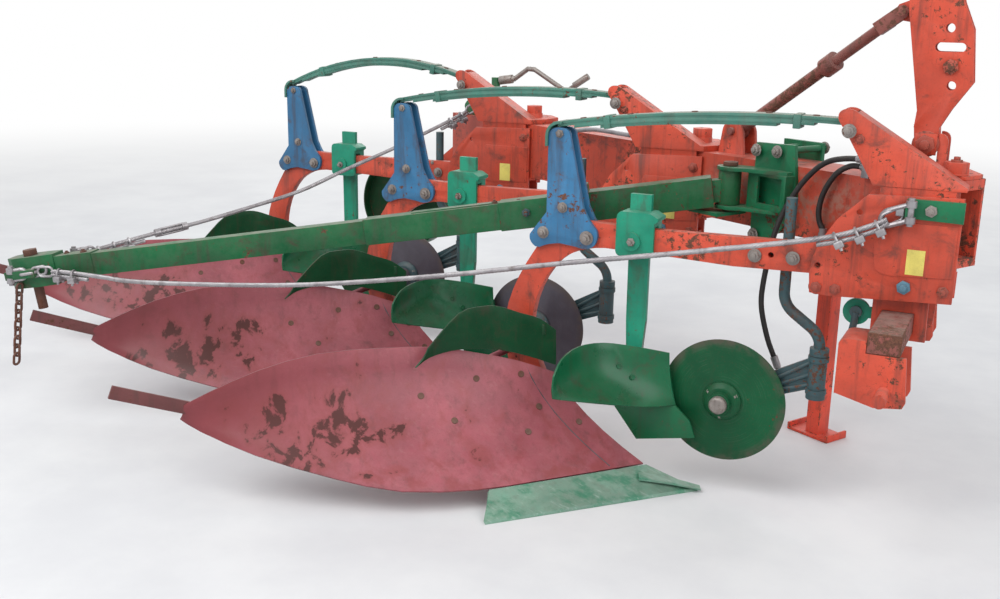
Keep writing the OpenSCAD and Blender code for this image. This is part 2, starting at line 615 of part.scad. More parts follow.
module press_arm() color("green") {
  difference() {
    union() {
      on_beam() translate([swivel.x, swivel.y, press_foot.z - 51]) cylinder(r = 38, h = 116);
      along_press() {
        press_box(0, 70, 50, 76);
        press_box(55, 55 + shell_run, press_w, press_h);
        press_box(55, 55 + shell_run + middle_run, press_w - 2 * middle_wall, press_h - 2 * middle_wall);
        translate([470, -30, press_h / 2 - 1]) cube([82, 60, 27]);
        translate([511, 0, press_h / 2]) cylinder(r = 19.5, h = 140);
      }
    }
    along_press() press_box(75, 90 + shell_run + middle_run, press_w - 2 * shell_wall, press_h - 2 * shell_wall);
    on_beam() translate([swivel.x, swivel.y, press_foot.z - 60]) cylinder(r = 15.3, h = 140);
  }
}

end_edge = [[-110, 0], [-50, 12], [50, 12], [78, -10]];

module press_tube() color("darkgreen") along_press() difference() {
  half = press_w / 2;
  union() {
    press_box(600, press_end - 20, press_w - 2 * shell_wall - 0.6, press_h - 2 * shell_wall - 0.6);
    press_box(press_end - 260, press_end - 90, press_w - 10, press_h - 6);
    translate([press_end, 0, -press_h / 2 - 8]) linear_extrude(press_h + 16)
      polygon(concat([for (p = end_edge) [p.x, half + p.y]], [for (i = [3 : -1 : 0]) [end_edge[i].x, -half - end_edge[i].y]]));
    translate([press_end - 50, half, -15]) cube([120, 46, 30]);
    translate([press_end - 160, -75, 8]) cube([60, 55, 30]);
  }
  translate([press_end, 0, -100]) cylinder(r = 18.3, h = 200);
  translate([press_end + 30, half + 28, -40]) cylinder(r = 10, h = 80);
}

clamp_near = [[510, 1150], [672, 1144], [672, 860], [655, 815], [610, 815], [563, 850], [500, 915], [491, 993]];
clamp_far = [[556, 1142], [723, 1142], [723, 850], [690, 815], [600, 815], [556, 850]];
arm_plate = concat([[510, 104], [672, 104], [757, 145]], bez([762, 182], [752, 212], [721, 212]), bez([690, 212], [672, 200], [655, 180]), [[560, 150], [510, 130]]);

bracket_low = press_foot.z - 64;
bracket_high = press_foot.z + 66;

module press_bracket() color("green") on_beam() {
  near = beam_w / 2 + seat;
  difference() {
    union() {
      slab(near, near + 14) polygon(clamp_near);
      slab(-near - 14, -near) polygon(clamp_far);
      for (p = [[659, 1120], [570, 1124], [646, 838]]) pin_y(p.x, p.y, 11, -near - 34, near + 34);
      for (z = [bracket_low, bracket_high]) translate([0, 0, z]) linear_extrude(12) polygon(arm_plate);
      difference() {
        translate([500, near + 10, bracket_low + 11]) cube([160, 46, bracket_high - bracket_low - 10]);
        translate([512, near, bracket_low + 20]) cube([136, 46, bracket_high - bracket_low - 28]);
        translate([518, near, bracket_low + 31]) cube([98, 80, bracket_high - bracket_low - 41]);
      }
      translate([700, near + 10, bracket_low - 23]) cube([140, 140, 12]);
      translate([700, near + 10, bracket_low - 16]) cube([12, 40, 24]);
    }
    translate([swivel.x, swivel.y, bracket_low - 40]) cylinder(r = 15.3, h = 190);
    slab(near - 1, near + 15) translate([535, 1022]) circle(r = 8);
  }
}

module press_pin() color("brown") {
  on_beam() {
    translate([swivel.x, swivel.y, bracket_low - 26]) cylinder(r = 15, h = bracket_high - bracket_low + 45);
    translate([swivel.x, swivel.y, bracket_high + 12 + seat]) cylinder(r = 26, h = 14, $fn = 6);
  }
  along_press() {
    translate([press_end, 0, -150]) cylinder(r = 18, h = 212);
    translate([press_end, 0, press_h / 2 + 8 + seat]) cylinder(r = 28, h = 22, $fn = 6);
  }
}

// Stays with their anchors
front_route = [[980, -74.6, 1020], [895, -88, 972], [761, -108, 925], [390, -164, 853], [20, -220, 788], [-378, -280, 712],
  [-808, -346, 642], [-1114, -392, 608], [-1457, -444, 583], [-1624, -469, 577], [-1728, -485, 582], [-1880, -517, 588], [-1984.2, -545, 583]];
rear_route = [[-1950.5, -378.8, 621.2], [-1926, -337, 628], [-1866, -235, 650], [-1811, -141, 670], [-1706, 37, 703], [-1597, 220, 747],
  [-1484, 412, 798], [-1377, 593, 874], [-1256, 798, 956], [-1145, 986, 1039], [-1091, 1076, 1082], [-1035, 1171.5, 1130]];

module front_stay() color("silver") on(1) {
  translate([958, -87, 1006]) cube([26.7, 24, 28]);
  rope(front_route, rope_r);
}

module rear_stay() color("silver") on(1) rope(rear_route, rope_r);

// Two hoses: one hangs with its coupling free, the other goes into a port on the main beam
low_route = [[240, 104, 1136], [262, 104, 1136], [307, 110, 1132], [356, 114, 1120], [393, 118, 1099], [426, 124, 1066], [453, 132, 1029],
  [476, 142, 984], [492, 152, 943], [502, 162, 903], [509, 172, 857], [514, 180, 807], [518, 186, 748], [521, 190, 700], [522, 192, 655],
  [518, 190, 612], [507, 184, 562], [492, 175, 508], [474, 164, 460]];
port_route = [[240, 80, 1110], [262, 80, 1110], [294, 94, 1110], [326, 108, 1090], [350, 112, 1060], [368, 116, 1024], [377, 119, 990],
  [379, 121, 955], [373, 120, 925], [362, 118, 905], [358, 118, 892], [358, 118, 880.3]];
hose_r = 9;

module low_hose() color("black") on_beam() rope(low_route, hose_r, [0, 1, 0], 10);

module port_hose() color("black") on_beam() rope(port_route, hose_r, [0, 1, 0], 10);

module hose_block() color("silver") on_beam() {
  translate([212, 30, beam_top + seat]) cube([27.7, 86, 68]);
  translate([337, beam_w / 2 + seat, 846]) cube([42, 42, 34]);
}

module low_coupling() color("silver") on_beam() {
  rod([473.6, 163.7, 459], [466, 160, 440], 13);
  rod([468, 161, 445], [452, 154, 404], 10);
}

module stay_anchors() color("limegreen") {
  on(1) slab(-head_y - head_t - seat - 12, -head_y - head_t - seat) polygon([[985, 1000], [1140, 996], [1140, 1056], [985, 1056]]);
  on(1) translate([985, -90, 1002]) cube([16, 40, 46]);
  on_beam() translate([2352, 60, beam_top + seat]) cube([62, 14, 72]);
}

main_beam();
headstock();
mast();
mast_brace();
cross_bar();
link_pins();
head(1);  // head_1
head(2);  // head_2
head(3);  // head_3
leg(1);  // leg_1
leg(2);  // leg_2
leg(3);  // leg_3
spring_arms();
leaf_springs();
mouldboard(1);  // mouldboard_1
mouldboard(2);  // mouldboard_2
mouldboard(3);  // mouldboard_3
trashboards();
shares();
frogs();
skimmer(1);  // skimmer_1
skimmer(2);  // skimmer_2
skimmer(3);  // skimmer_3
coulter_stems();
coulter_arm(1);  // coulter_arm_1
coulter_arm(2);  // coulter_arm_2
coulter_arm(3);  // coulter_arm_3
coulter_disc(1);  // coulter_disc_1
coulter_disc(2);  // coulter_disc_2
coulter_disc(3);  // coulter_disc_3
stand_sleeve();
stand_leg();
wheel_arm();
depth_wheel();
wheel_spindle();
wheel_crank();
press_bracket();
press_arm();
press_tube();
press_pin();
front_stay();
rear_stay();
stay_anchors();
low_hose();
port_hose();
hose_block();
low_coupling();
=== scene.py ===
"""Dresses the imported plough: worn paint, bolts, ropes, hoses and small fittings."""
import json
from math import atan2, cos, pi, radians, sin

import bpy
from bpy.types import Operator, Panel, PropertyGroup
from mathutils import Matrix, Vector

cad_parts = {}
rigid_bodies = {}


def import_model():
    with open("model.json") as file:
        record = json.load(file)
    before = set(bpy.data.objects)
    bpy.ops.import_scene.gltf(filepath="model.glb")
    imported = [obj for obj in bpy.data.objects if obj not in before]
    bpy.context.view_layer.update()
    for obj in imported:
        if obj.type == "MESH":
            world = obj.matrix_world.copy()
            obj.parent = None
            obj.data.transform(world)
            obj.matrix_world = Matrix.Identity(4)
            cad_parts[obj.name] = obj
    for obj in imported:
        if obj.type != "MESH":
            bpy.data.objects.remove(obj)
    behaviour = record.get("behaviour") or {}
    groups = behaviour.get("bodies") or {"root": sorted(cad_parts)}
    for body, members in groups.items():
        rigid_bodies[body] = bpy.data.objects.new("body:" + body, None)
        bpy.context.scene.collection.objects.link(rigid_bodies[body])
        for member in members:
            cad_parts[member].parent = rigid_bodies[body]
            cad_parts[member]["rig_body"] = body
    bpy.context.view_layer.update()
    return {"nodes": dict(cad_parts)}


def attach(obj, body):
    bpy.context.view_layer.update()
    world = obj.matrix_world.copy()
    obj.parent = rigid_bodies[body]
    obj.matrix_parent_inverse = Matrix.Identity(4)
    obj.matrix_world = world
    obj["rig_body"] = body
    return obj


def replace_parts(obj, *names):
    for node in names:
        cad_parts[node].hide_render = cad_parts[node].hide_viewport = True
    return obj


bl_info = {
    "name": "Worn mouldboard plough",
    "version": (1, 0, 0),
    "blender": (4, 5, 0),
    "location": "3D View > Sidebar > Plough",
    "description": "Dresses the packed plough with worn paint, bolts, ropes, hoses and small fittings",
    "category": "Add Mesh",
}

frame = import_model()

# Main places, in millimetres
UNITS = (1, 2, 3)
STEP_X, STEP_Y = 900, 495
MIDDLE_X, MIDDLE_Y = -8, 163
BEAM_TURN = pi - atan2(STEP_Y, STEP_X)
PIVOT_X, PIVOT_Y = 1093, 90
BEAM_TOP = 1082
HUB_X, HUB_Z = 474, 329
CLAMP_X, CLAMP_Z = 157, 837
TAIL_START_Y = -837
SKIMMER_PAINT_TOP = 0.515

CAMERA_AT = (2.204, -3.691, 1.557)
CAMERA_LOOK = (-0.4248, 0.8687, -0.2551)
CAMERA_ROLL = -0.018255
CAMERA_LENS = 39.6


# Places, from millimetres in a part's own directions to the shared frame

def unit(k, x, y, z):
    """A point near body k of the plough: x forward, y away from the camera."""
    return Vector(((2 - k) * STEP_X + x + MIDDLE_X, -(2 - k) * STEP_Y + y + MIDDLE_Y, z)) / 1000


def beam(x, y, z):
    """A point along the main beam: x rearward from its front pivot, y to the camera's side."""
    c, s = cos(BEAM_TURN), sin(BEAM_TURN)
    return unit(1, PIVOT_X + x * c - y * s, PIVOT_Y + x * s + y * c, z)


NEAR = Vector((0, -1, 0))
FAR = Vector((0, 1, 0))
UP = Vector((0, 0, 1))
BEAM_NEAR = (beam(0, 1, 0) - beam(0, 0, 0)).normalized()
ARM_FOOT = Vector((380, 290, 985))
ARM_RUN = (Vector((-2126, -521, 559)) - ARM_FOOT).normalized()
ARM_SIDE = UP.cross(ARM_RUN).normalized()
ARM_UP = ARM_RUN.cross(ARM_SIDE)


def arm(x, y, z):
    """A point along the press arm: x rearward, y to the camera's side, z above its middle."""
    return unit(1, *(ARM_FOOT + x * ARM_RUN + y * ARM_SIDE + z * ARM_UP))


# Sizes and colours that a user would change

def tint(name, text, value):
    return bpy.props.FloatVectorProperty(
        name=name, description=text, default=value, size=3, subtype="COLOR", min=0, max=1)


def measure(name, text, value, low, high):
    return bpy.props.FloatProperty(name=name, description=text, default=value, unit="LENGTH", min=low, max=high)


class PloughColours(PropertyGroup):
    frame_red: tint("Frame", "Orange-red paint of the heads, legs and main beam", (0.62, 0.075, 0.035))
    brace_brown: tint("Brace", "Worn paint of the brace and cross bar", (0.25, 0.065, 0.05))
    stand_red: tint("Stand", "Red paint of the stand", (0.78, 0.075, 0.035))
    clamp_green: tint("Clamps", "Bright green paint of the skimmer clamps", (0.014, 0.31, 0.19))
    board_green: tint("Trashboards", "Dark green paint of the trashboards", (0.0015, 0.06, 0.02))
    arm_green: tint("Press arm", "Green paint of the press arm", (0.003, 0.13, 0.042))
    spring_teal: tint("Springs", "Weathered paint of the leaf springs", (0.035, 0.2, 0.15))
    arm_blue: tint("Spring arms", "Blue paint of the spring arms", (0.03, 0.18, 0.37))
    board_red: tint("Mouldboards", "Dusty red paint of the mouldboards", (0.385, 0.1, 0.125))
    share_green: tint("Shares", "Pale worn paint of the shares", (0.17, 0.35, 0.26))
    disc_green: tint("Front disc", "Green paint of the front disc", (0.003, 0.098, 0.036))
    disc_grey: tint("Other discs", "Dull steel of the other discs", (0.085, 0.08, 0.105))
    rust: tint("Rust", "Rust under the paint", (0.085, 0.028, 0.016))
    dust: tint("Dust", "Pale field dust on upper faces", (0.42, 0.36, 0.31))
    sticker: tint("Sticker", "Blank yellow sticker on each head", (0.8, 0.7, 0.16))


class PloughSizes(PropertyGroup):
    edge_round: measure("Edge rounding", "Rounding of the steel's edges", 0.0022, 0.0005, 0.006)
    rope_r: measure("Rope radius", "Radius of the wire stays", 0.0085, 0.003, 0.012)
    hose_r: measure("Hose radius", "Radius of the hydraulic hoses", 0.009, 0.005, 0.015)
    wear: bpy.props.FloatProperty(name="Wear", description="How much paint has chipped off", default=0.5,
                                  subtype="FACTOR", min=0, max=1)


# Shader steps

def node(tree, kind, **values):
    """A new shader node, by the end of its type's name."""
    n = tree.nodes.new("ShaderNode" + kind)
    for key, value in values.items():
        setattr(n, key, value)
    return n


def feed(tree, socket, value):
    """Sets a socket to a number or colour, or links it to another node's output."""
    if isinstance(value, (int, float)):
        socket.default_value = value
    elif isinstance(value, (tuple, list)):
        socket.default_value = (*value[:3], 1)[:len(socket.default_value)]
    else:
        tree.links.new(value, socket)


def made(tree, kind, inputs, output=0, **values):
    """One output of a new node whose inputs are fed."""
    n = node(tree, kind, **values)
    for key, value in inputs.items():
        feed(tree, n.inputs[key], value)
    return n.outputs[output]


def maths(tree, operation, a, b, clamp=False):
    return made(tree, "Math", {0: a, 1: b}, operation=operation, use_clamp=clamp)


def times(tree, a, b, clamp=False):
    return maths(tree, "MULTIPLY", a, b, clamp)


def plus(tree, a, b, clamp=False):
    return maths(tree, "ADD", a, b, clamp)


def less(tree, a, b):
    return maths(tree, "SUBTRACT", a, b)


def step(tree, value, low, high):
    """0 below low and 1 above high, smooth between."""
    return made(tree, "MapRange", {0: value, 1: low, 2: high}, interpolation_type="SMOOTHSTEP")


def mixed(tree, factor, a, b, mode="MIX"):
    return made(tree, "Mix", {0: factor, 6: a, 7: b}, 2, data_type="RGBA", blend_type=mode)


def over(tree, colour, mask, much, laid):
    """Another colour laid over this one, as much as given where the mask is 1."""
    return mixed(tree, times(tree, mask, much), colour, laid)


def place(tree):
    return node(tree, "TexCoord").outputs["Object"]


def noise(tree, where, scale, detail=6, rough=0.6, distortion=0.0):
    return made(tree, "TexNoise", {
        "Vector": where, "Scale": scale, "Detail": detail, "Roughness": rough, "Distortion": distortion})


def stretched(tree, where, scale, turn=(0, 0, 0), shift=(0, 0, 0)):
    return made(tree, "Mapping", {"Vector": where, "Scale": scale, "Rotation": turn, "Location": shift})


def part(tree, vector, i):
    """The x, y or z part of a vector, by its number."""
    return made(tree, "SeparateXYZ", {0: vector}, i)


def distance(tree, where, at=(0, 0, 0), scale=(1, 1, 1)):
    """How far a point is from at, with each direction stretched by scale."""
    centred = stretched(tree, where, scale, shift=[-s * p for s, p in zip(scale, at)])
    return made(tree, "VectorMath", {0: centred}, "Value", operation="LENGTH")


def coat_group():
    """Old paint: uneven tone, chips down to rust, run marks and dust on upper faces."""
    g = bpy.data.node_groups.new("Weathered coat", "ShaderNodeTree")
    for name, kind, value in (
            ("Colour", "Color", (0.5, 0.1, 0.05, 1)), ("Under", "Color", (0.08, 0.03, 0.02, 1)),
            ("Dust colour", "Color", (0.4, 0.35, 0.3, 1)), ("Chips", "Float", 0.3), ("Runs", "Float", 0.3),
            ("Dust", "Float", 0.3), ("Scale", "Float", 1.0), ("Gloss", "Float", 0.42)):
        s = g.interface.new_socket(name=name, in_out="INPUT", socket_type="NodeSocket" + kind)
        s.default_value = value
    for name, kind in (("Colour", "Color"), ("Roughness", "Float"), ("Height", "Float"), ("Bare", "Float")):
        g.interface.new_socket(name=name, in_out="OUTPUT", socket_type="NodeSocket" + kind)
    given, out = g.nodes.new("NodeGroupInput").outputs, g.nodes.new("NodeGroupOutput").inputs
    under, size = given["Under"], given["Scale"]
    where = place(g)
    upward = part(g, node(g, "NewGeometry").outputs["Normal"], 2)
    broad = noise(g, where, times(g, size, 4.0), 5, 0.6)
    fine = noise(g, where, times(g, size, 48.0), 11, 0.74)
    speck = noise(g, where, times(g, size, 170.0), 4, 0.6)
    runs = noise(g, stretched(g, where, (26, 26, 2.2)), 1.0, 6, 0.65)
    spots = noise(g, where, times(g, size, 11.0), 8, 0.66, 0.4)
    tone = step(g, broad, 0.32, 0.7)
    shade = mixed(g, tone, (0.74, 0.7, 0.7), (1.1, 1.06, 1.04))
    colour = mixed(g, 1.0, given["Colour"], shade, "MULTIPLY")
    colour = over(g, colour, step(g, speck, 0.5, 0.75), 0.18, under)
    grime = mixed(g, 0.55, under, (0.03, 0.028, 0.026))
    colour = over(g, colour, step(g, runs, 0.5, 0.72), given["Runs"], grime)
    stain = times(g, step(g, spots, 0.53, 0.7), times(g, given["Runs"], 1.1), True)
    colour = mixed(g, stain, colour, mixed(g, 0.5, under, (0.05, 0.035, 0.03)))
    # chips down to rust
    edge = less(g, 0.668, times(g, given["Chips"], 0.185))
    both = plus(g, times(g, fine, 0.62), times(g, broad, 0.42))
    bare = step(g, both, edge, plus(g, edge, 0.018))
    rusty = mixed(g, step(g, speck, 0.35, 0.7), under, (0.16, 0.062, 0.032))
    colour = mixed(g, bare, colour, rusty)
    # dust, most of it on upper faces
    film = times(g, step(g, upward, 0.15, 0.95), given["Dust"])
    film = plus(g, film, times(g, given["Dust"], 0.16))
    veil = times(g, film, step(g, noise(g, where, 19.0, 8, 0.75), 0.28, 0.62), True)
    colour = over(g, colour, veil, 0.72, given["Dust colour"])
    dull = plus(g, times(g, bare, 0.32), plus(g, times(g, veil, 0.3), times(g, tone, 0.1)))
    rough = plus(g, given["Gloss"], dull, True)
    high = plus(g, times(g, bare, -0.7), times(g, speck, 0.25))
    for name, value in (("Colour", colour), ("Roughness", rough), ("Height", high), ("Bare", bare)):
        g.links.new(value, out[name])


def finish(name, colour, chips=0.3, runs=0.25, dust=0.3, gloss=0.42, scale=1.0, metal=0.0,
           depth=0.0008, touch=None, shine=0.5):
    """A worn finish. touch(tree, colour) may lay something more over the paint."""
    colours = bpy.context.scene.plough_colours
    m = bpy.data.materials.new(name)
    m.use_nodes = True
    t = m.node_tree
    shader = t.nodes["Principled BSDF"]
    shader.inputs["Specular IOR Level"].default_value = shine
    g = node(t, "Group", node_tree=bpy.data.node_groups["Weathered coat"])
    for key, value in (("Colour", colour), ("Under", colours.rust), ("Dust colour", colours.dust)):
        g.inputs[key].default_value = (*value[:3], 1)
    chips = chips * bpy.context.scene.plough_sizes.wear * 2
    for key, value in (("Chips", chips), ("Runs", runs), ("Dust", dust), ("Scale", scale), ("Gloss", gloss)):
        g.inputs[key].default_value = value
    out = g.outputs["Colour"]
    t.links.new(touch(t, out) if touch else out, shader.inputs["Base Color"])
    t.links.new(g.outputs["Roughness"], shader.inputs["Roughness"])
    if metal:
        t.links.new(times(t, less(t, 1.0, g.outputs["Bare"]), metal), shader.inputs["Metallic"])
    bump = made(t, "Bump", {"Strength": 0.6, "Distance": depth, "Height": g.outputs["Height"]})
    t.links.new(bump, shader.inputs["Normal"])
    return m


def board_touch(k):
    """Rust patches on the rear half of mouldboard k, scratches along its sweep and a darker tail."""
    def touch(t, colour):
        where = place(t)
        near = less(t, 1.0, step(t, distance(t, where, unit(k, -690, -600, 235), (1.9, 2.0, 4.4)), 0.05, 1.05))
        blots = noise(t, stretched(t, where, (1.4, 1.4, 0.9)), 10.0, 9, 0.6, 0.3)
        heart = plus(t, times(t, near, 0.2), blots)
        sweep = noise(t, stretched(t, where, (2.0, 70, 70), (0, 0, 0.6)), 1.0, 3, 0.6)
        colour = over(t, colour, step(t, sweep, 0.54, 0.78), 0.1, (0.56, 0.3, 0.29))
        colour = over(t, colour, step(t, heart, 0.5, 0.7), 0.5, (0.27, 0.06, 0.055))
        tail = step(t, part(t, where, 0), unit(k, -350, 0, 0).x, unit(k, -1050, 0, 0).x)
        colour = over(t, colour, tail, 0.8, (0.19, 0.032, 0.036))
        low = times(t, step(t, part(t, where, 2), 0.25, 0.05), step(t, blots, 0.42, 0.6))
        colour = over(t, colour, low, 0.5, (0.26, 0.05, 0.05))
        return over(t, colour, step(t, heart, 0.672, 0.73), 0.93, (0.058, 0.011, 0.008))
    return touch


def ring_touch(k):
    """Fine turned rings and a dull rim on disc k."""
    def touch(t, colour):
        where = place(t)
        out = distance(t, where, unit(k, HUB_X, 0, HUB_Z), (1, 0, 1))
        lines = made(t, "TexNoise", {"W": out, "Scale": 190, "Detail": 4}, noise_dimensions="1D")
        blots = noise(t, where, 16.0, 7, 0.7)
        rub = times(t, step(t, lines, 0.48, 0.72), step(t, blots, 0.42, 0.62))
        colour = over(t, colour, rub, 0.07, (0.22, 0.24, 0.21))
        rim = times(t, step(t, out, 0.17, 0.204), step(t, blots, 0.36, 0.6))
        return over(t, colour, rim, 0.75, (0.1, 0.075, 0.06))
    return touch


def share_touch(t, colour):
    """Green paint left in blots on a pale scoured share."""
    where = place(t)
    blots = noise(t, stretched(t, where, (1.0, 1.6, 3.0), (0, 0, 0.7)), 9.0, 8, 0.68)
    colour = over(t, colour, step(t, blots, 0.46, 0.66), 0.8, (0.02, 0.19, 0.1))
    sweep = noise(t, stretched(t, where, (3.0, 80, 60), (0, 0, 0.75)), 1.0, 3, 0.6)
    return over(t, colour, step(t, sweep, 0.55, 0.75), 0.4, (0.42, 0.5, 0.44))


def beam_touch(t, colour):
    """A worn pale patch along the main beam."""
    where = place(t)
    near = less(t, 1.0, step(t, distance(t, where, beam(520, 92, 985), (1.6, 1.6, 7.0)), 0.3, 0.8))
    return over(t, colour, near, step(t, noise(t, where, 24.0, 8, 0.7), 0.42, 0.6), (0.42, 0.17, 0.12))


FINISH = {}
WORN_EDGES = {
    "orange_paint": 0.62, "red_paint": 0.7, "bright_green": 0.62, "arm_green": 0.66, "blue_paint": 0.68,
    "brown_paint": 0.95, "dark_green": 0.62, "skimmer_green": 0.66, "bracket_green": 0.66,
    "teal_paint": 0.7, "frog_red": 0.8, "dark_iron": 0.9, "share_green": 0.5}


def make_finishes(f):
    """Fills f with every finish by name; the numbers are chips, runs, dust, gloss, scale and metal."""
    c = bpy.context.scene.plough_colours
    coat_group()
    f.update({
        "orange_paint": finish("frame paint", c.frame_red, 0.4, 0.66, 0.26, shine=0.4),
        "beam_paint": finish("beam paint", c.frame_red, 0.46, 0.75, 0.3, touch=beam_touch, shine=0.4),
        "brown_paint": finish("brace paint", c.brace_brown, 0.75, 0.45, 0.4, 0.55),
        "red_paint": finish("stand paint", c.stand_red, 0.34, 0.5, 0.25, shine=0.4),
        "bright_green": finish("clamp paint", c.clamp_green, 0.26, 0.35, 0.22, 0.36, shine=0.22),
        "bracket_green": finish("bracket paint", (0.004, 0.165, 0.068), 0.26, 0.45, 0.2, 0.34, shine=0.3),
        "skimmer_green": finish("skimmer paint", (0.002, 0.115, 0.044), 0.16, 0.42, 0.05, 0.24, shine=0.35),
        "dark_green": finish("trashboard paint", c.board_green, 0.14, 0.35, 0.07, 0.36, shine=0.22),
        "arm_green": finish("press arm paint", c.arm_green, 0.32, 0.55, 0.5, 0.36, shine=0.28),
        "teal_paint": finish("spring paint", c.spring_teal, 0.34, 0.25, 0.85, 0.5),
        "blue_paint": finish("spring arm paint", c.arm_blue, 0.34, 0.55, 0.16, 0.38),
        "share_green": finish("share paint", c.share_green, 0.12, 0.2, 0.2, 0.45, touch=share_touch),
        "frog_red": finish("frog paint", (0.36, 0.055, 0.038), 0.4, 0.35, 0.25, 0.5),
        "dark_iron": finish("coulter iron", (0.03, 0.085, 0.1), 0.5, 0.55, 0.2, 0.5, 1.4),
        "rusty_steel": finish("rusty steel", (0.135, 0.052, 0.032), 0.6, 0.4, 0.25, 0.72),
        "rope_steel": finish("galvanised steel", (0.4, 0.4, 0.42), 0.06, 0.4, 0.1, 0.34, 3.0, 0.65, 0.0003),
        "bolt_red": finish("painted bolts", (0.4, 0.07, 0.04), 0.55, 0.6, 0.25, 0.5, 2.5),
        "tail_iron": finish("tail iron", (0.15, 0.04, 0.04), 0.3, 0.6, 0.15, 0.5),
        "zinc": finish("plated bolts", (0.3, 0.28, 0.26), 0.42, 0.5, 0.2, 0.42, 3.0, 0.4, 0.0003),
        "blue_bolt": finish("blue nuts", (0.1, 0.24, 0.33), 0.35, 0.3, 0.2, 0.4, 3.0, depth=0.0003),
        "hose_rubber": finish("hose rubber", (0.013, 0.013, 0.014), 0.0, 0.2, 0.16, 0.5, 2.0, depth=0.0002),
        "sticker": finish("blank sticker", c.sticker, 0.12, 0.15, 0.1, 0.35, 2.0, depth=0.0002),
        "disc_1": finish("front disc paint", c.disc_green, 0.18, 0.1, 0.05, 0.36, touch=ring_touch(1), shine=0.22)})
    for k in (2, 3):
        f[f"disc_{k}"] = finish(f"disc {k} steel", c.disc_grey, 0.3, 0.15, 0.15, 0.38, metal=0.35,
                                touch=ring_touch(k))
    for k in UNITS:
        f[f"board_{k}"] = finish(f"mouldboard {k} paint", c.board_red, 0.1, 0.3, 0.07, 0.34,
                                 touch=board_touch(k), shine=0.35)
        f[f"board_{k}_edge"] = finish(f"mouldboard {k} rim", (0.47, 0.14, 0.11), 0.5, 0.3, 0.1, 0.4, 2.0,
                                      shine=0.35)
    for key, chips in WORN_EDGES.items():
        base = f[key].node_tree.nodes["Group"].inputs["Colour"].default_value
        f[key + "_edge"] = finish(f[key].name + " edges", base, chips, 0.2, 0.2, 0.45, shine=0.3)


# Working by hand

def mode(name):
    bpy.ops.object.mode_set(mode=name)


def clear():
    if bpy.context.mode != "OBJECT":
        mode("OBJECT")
    bpy.ops.object.select_all(action="DESELECT")


def hold(*objects):
    clear()
    for o in objects:
        o.select_set(True)
    bpy.context.view_layer.objects.active = objects[0]


def new_object(name, data):
    o = bpy.data.objects.new(name, data)
    bpy.context.scene.collection.objects.link(o)
    return o


def joined(objects):
    hold(*objects)
    if len(objects) > 1:
        bpy.ops.object.join()
    return bpy.context.view_layer.objects.active


def done(o, name, paint, body="frame", angle=38):
    """Puts the place into the mesh, smooths it, gives it its finish and lets it ride on its body."""
    hold(o)
    bpy.ops.object.transform_apply(location=True, rotation=True, scale=True)
    bpy.ops.object.shade_smooth_by_angle(angle=radians(angle))
    o.name = name
    o.data.name = name
    o.data.materials.clear()
    o.data.materials.append(FINISH[paint])
    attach(o, body)
    return o


def in_edit(o, *actions):
    """Does each action on the whole piece in edit mode."""
    hold(o)
    mode("EDIT")
    bpy.ops.mesh.select_all(action="SELECT")
    for action in actions:
        action()
    mode("OBJECT")


def inset_top(o, inward, lift):
    """Insets the top face and moves the inner face up or down."""
    hold(o)
    mode("EDIT")
    bpy.ops.mesh.select_all(action="DESELECT")
    mode("OBJECT")
    top = max(o.data.polygons, key=lambda f: f.center.z)
    top.select = True
    mode("EDIT")
    bpy.ops.mesh.select_mode(type="FACE")
    bpy.ops.mesh.inset(thickness=inward)
    bpy.ops.transform.translate(value=(0, 0, lift))
    mode("OBJECT")
    return o


def applied(o, kind, **values):
    """Adds a modifier with these values and applies it."""
    hold(o)
    m = o.modifiers.new("shape", kind)
    for key, value in values.items():
        setattr(m, key, value)
    bpy.ops.object.modifier_apply(modifier=m.name)
    return o


def rounded(o, width, angle=30, material=-1):
    return applied(o, "BEVEL", width=width, segments=2, limit_method="ANGLE", angle_limit=radians(angle),
                   material=material)


def cylinder(sides, radius, depth, z=0):
    clear()
    bpy.ops.mesh.primitive_cylinder_add(vertices=sides, radius=radius, depth=depth, location=(0, 0, z))
    return bpy.context.object


def block(at, size, axes=None, edge=0.002):
    """A box with its middle at a point, along its own axes, with rounded edges."""
    clear()
    bpy.ops.mesh.primitive_cube_add(size=1)
    o = bpy.context.object
    turn = Matrix(axes).transposed().to_4x4() if axes else Matrix()
    o.data.transform(Matrix.Translation(at) @ turn @ Matrix.Diagonal((*size, 1)))
    return rounded(o, edge) if edge else o


def aimed(at, direction, scale=1.0, roll=0.0):
    """Stands a piece made at the origin on a point, its up along direction."""
    turn = Vector(direction).to_track_quat("Z", "Y").to_matrix().to_4x4()
    return Matrix.Translation(at) @ turn @ Matrix.Rotation(roll, 4, "Z") @ Matrix.Diagonal((scale, scale, scale, 1))


def stamped(pattern, places):
    """A copy of the pattern, each with its own mesh, at every place, joined; the pattern goes."""
    copies = []
    for spot in places:
        mesh = pattern.data.copy()
        mesh.transform(aimed(*spot))
        copies.append(new_object("copy", mesh))
    bpy.data.objects.remove(pattern)
    return joined(copies)


def hex_bolt(stub=0.3):
    """A hexagon head across 2 units on a washer, with the stub of its thread."""
    head = rounded(cylinder(6, 1.1, 0.75, 0.5), 0.05, 25)
    washer = rounded(cylinder(18, 1.5, 0.22, 0.06), 0.05, 40)
    thread = rounded(cylinder(12, 0.55, stub + 0.4, 0.9 + stub / 2), 0.08, 40)
    return joined([head, washer, thread])


def plough_bolt():
    """A flat countersunk bolt head, a little dished."""
    return rounded(inset_top(cylinder(20, 1.0, 0.5, -0.08), 0.35, -0.06), 0.06, 40)


def bolts(places, name, paint, stub=0.3, body="frame"):
    done(stamped(hex_bolt(stub), places), name, paint, body=body)


def flat_bolts(places, name, paint="rusty_steel"):
    done(stamped(plough_bolt(), places), name, paint)


